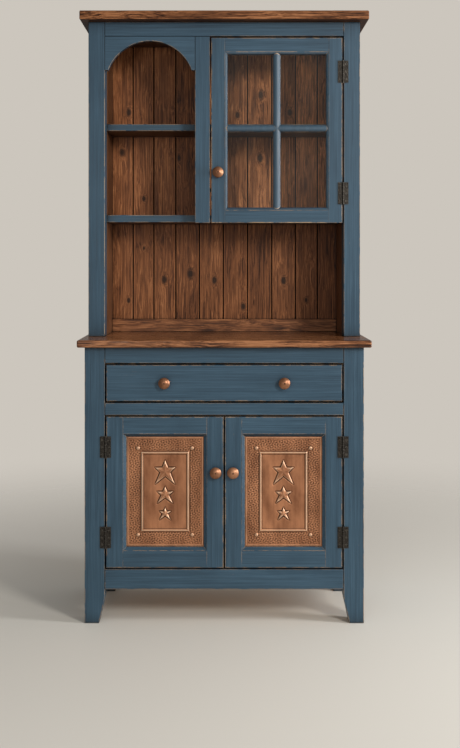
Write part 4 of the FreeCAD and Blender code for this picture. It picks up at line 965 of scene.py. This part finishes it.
# Painted light on the back boards of the cubby and behind the glass, with a gain at the left and one at the
# right of each
board_light_boxes = painted_light_boxes(cubby_gains=(0.30, 0.28), glazed_gains=(0.52, 1.75))
dress(stain("stain_back_boards", "z", board_joints(boards, board_shares), board_knots, fine=(300.0, 4.5),
            shine=0.2, light=1.04, painted_light=board_light_boxes), boards)
dress(stain("stain_counter", "x", fine=(210.0, 5.5), flame=(80.0, 3.5), gloss=(0.14, 0.34), shine=0.36,
            light=0.93, contrast=1.8), "counter_top")
dress(stain("stain_top", "x", fine=(260.0, 6.0), flame=(150.0, 5.0), shine=0.12, light=0.9, contrast=1.55),
      "hutch_top_board")
dress(stain("stain_level", "x", fine=(240.0, 8.0), contrast=1.25), "hutch_back_rail", "hutch_bottom_shelf",
      "hutch_mid_shelves", "hutch_ceiling")
dress(stain("stain_upright", "z", light=0.76, contrast=1.2), "hutch_side_linings", "hutch_divider")

# Bare pine
dress(bare_pine("pine_level", "x"), "base_back_rails", "base_floor", "base_shelf", "base_cleats",
      "drawer_back", "drawer_bottom", "base_back_panel")
dress(bare_pine("pine_deep", "y"), "drawer_runners", "drawer_kickers", "drawer_sides")
dress(bare_pine("pine_upright", "z"), "left_door_backing", "right_door_backing")

# Metal, glass and plastic
knobs = ("drawer_knobs", "left_door_knob", "right_door_knob", "glazed_door_knob")
dress(copper("copper_knobs", knob_tones, rough=0.36, dimples=knob_middles(knobs), coat=0.2), *knobs)
dress(iron("hammered_iron"), "fixed_hinge_leaves", "hinge_pins", "left_door_ironwork",
      "right_door_ironwork", "glazed_door_ironwork", "case_screws")
dress(steel("zinc_steel"), "drawer_knob_screws", "hutch_straps")
dress(glass("sheet_glass"), "glazed_door_panes")
dress(plastic("catch_plastic"), "magnet_catches")

sheet_copper = copper("copper_sheets", sheet_tones, rough=0.42, pressed=True)
for side in ("left", "right"):
    copper_sheet(side + "_pressed_sheet", side + "_door_copper_panel", side + "_door", sheet_copper)


def soft_lamp(name, place, target, size, power, colour):
    """A lamp of that width and height at place, turned to target."""
    data = bpy.data.lights.new(name, "AREA")
    data.shape = "RECTANGLE"
    data.size, data.size_y = size
    data.energy = power
    data.color = colour
    lamp = bpy.data.objects.new(name, data)
    lamp.location = place
    lamp.rotation_euler = (Vector(target) - Vector(place)).to_track_quat("-Z", "Y").to_euler()
    bpy.context.scene.collection.objects.link(lamp)


def pale_floor(half):
    """A floor that is full near the object and gone where the surround takes over."""
    graph = Graph("pale_floor")
    graph.finish(Base_Color=tone(*floor_tone), Roughness=0.6)
    far = graph.add("ShaderNodeVectorMath", operation="LENGTH")
    graph.put(graph.place, far.inputs[0])
    clear = graph.add("ShaderNodeBsdfTransparent")
    gone = graph.range(far.outputs["Value"], *floor_fade)
    graph.surface(gone, graph.shader.outputs[0], clear.outputs[0])
    mesh = bpy.data.meshes.new("floor")
    corners = ((-half, -half, 0), (half, -half, 0), (half, half, 0), (-half, half, 0))
    mesh.from_pydata(corners, [], [(0, 1, 2, 3)])
    mesh.materials.append(graph.material)
    floor = bpy.data.objects.new("floor", mesh)
    bpy.context.scene.collection.objects.link(floor)


def surround(seen, colour, toward, spread, strength):
    """A pale ground behind the object, lit as by a room whose window lies that way. Spread
    is how squarely a direction faces the window where the light is weakest and strongest."""
    world = bpy.data.worlds.new("surround")
    world.use_nodes = True
    tree = world.node_tree
    light = tree.nodes["Background"]
    light.inputs["Color"].default_value = colour
    facing = tree.nodes.new("ShaderNodeVectorMath")
    facing.operation = "DOT_PRODUCT"
    facing.inputs[1].default_value = Vector(toward).normalized()
    falling = tree.nodes.new("ShaderNodeMapRange")
    falling.interpolation_type = "SMOOTHSTEP"
    for number, socket in zip((*spread, *strength), list(falling.inputs)[1:5]):
        socket.default_value = number
    ground = tree.nodes.new("ShaderNodeBackground")
    ground.inputs["Color"].default_value = seen
    both = tree.nodes.new("ShaderNodeMixShader")
    for source, socket in (
        (tree.nodes.new("ShaderNodeTexCoord").outputs["Generated"], facing.inputs[0]),
        (facing.outputs["Value"], falling.inputs[0]),
        (falling.outputs[0], light.inputs["Strength"]),
        (tree.nodes.new("ShaderNodeLightPath").outputs["Is Camera Ray"], both.inputs[0]),
        (light.outputs[0], both.inputs[1]),
        (ground.outputs[0], both.inputs[2]),
        (both.outputs[0], tree.nodes["World Output"].inputs["Surface"]),
    ):
        tree.links.new(source, socket)
    bpy.context.scene.world = world


# Room: a plain pale floor, soft light from the right and a pale surround
pale_floor(floor_half)
surround(tone(*ground_tone), tone(*daylight_tone), window_way, daylight_spread, daylight_strength)
soft_lamp("window", place=(2.45, -3.5, 2.3), target=(0.0, 0.0, 0.8), size=(0.8, 0.9), power=94.0,
          colour=(1.0, 0.97, 0.92))
soft_lamp("side_window", place=(3.0, -0.9, 1.4), target=(0.0, -0.2, 1.0), size=(0.5, 1.8), power=64.0,
          colour=(0.96, 0.98, 1.0))
soft_lamp("fill", place=(-0.9, -4.6, 1.5), target=(0.0, 0.0, 1.4), size=(0.8, 0.8), power=13.0,
          colour=(1.0, 0.98, 0.95))

lens = bpy.data.cameras.new("camera")
lens.sensor_width = sensor_width
lens.lens = focal_px * sensor_width / max(photo_size)
lens.shift_x = (photo_size[0] / 2 - centre_px) / max(photo_size)
lens.shift_y = (horizon_px - photo_size[1] / 2) / max(photo_size)
lens.clip_end = camera_sight
camera = bpy.data.objects.new("camera", lens)
camera.location = (0.0, -camera_distance, camera_height)
camera.rotation_euler = (math.pi / 2, 0.0, 0.0)
bpy.context.scene.collection.objects.link(camera)
bpy.context.scene.camera = camera
bpy.context.scene.view_settings.view_transform = "Standard"
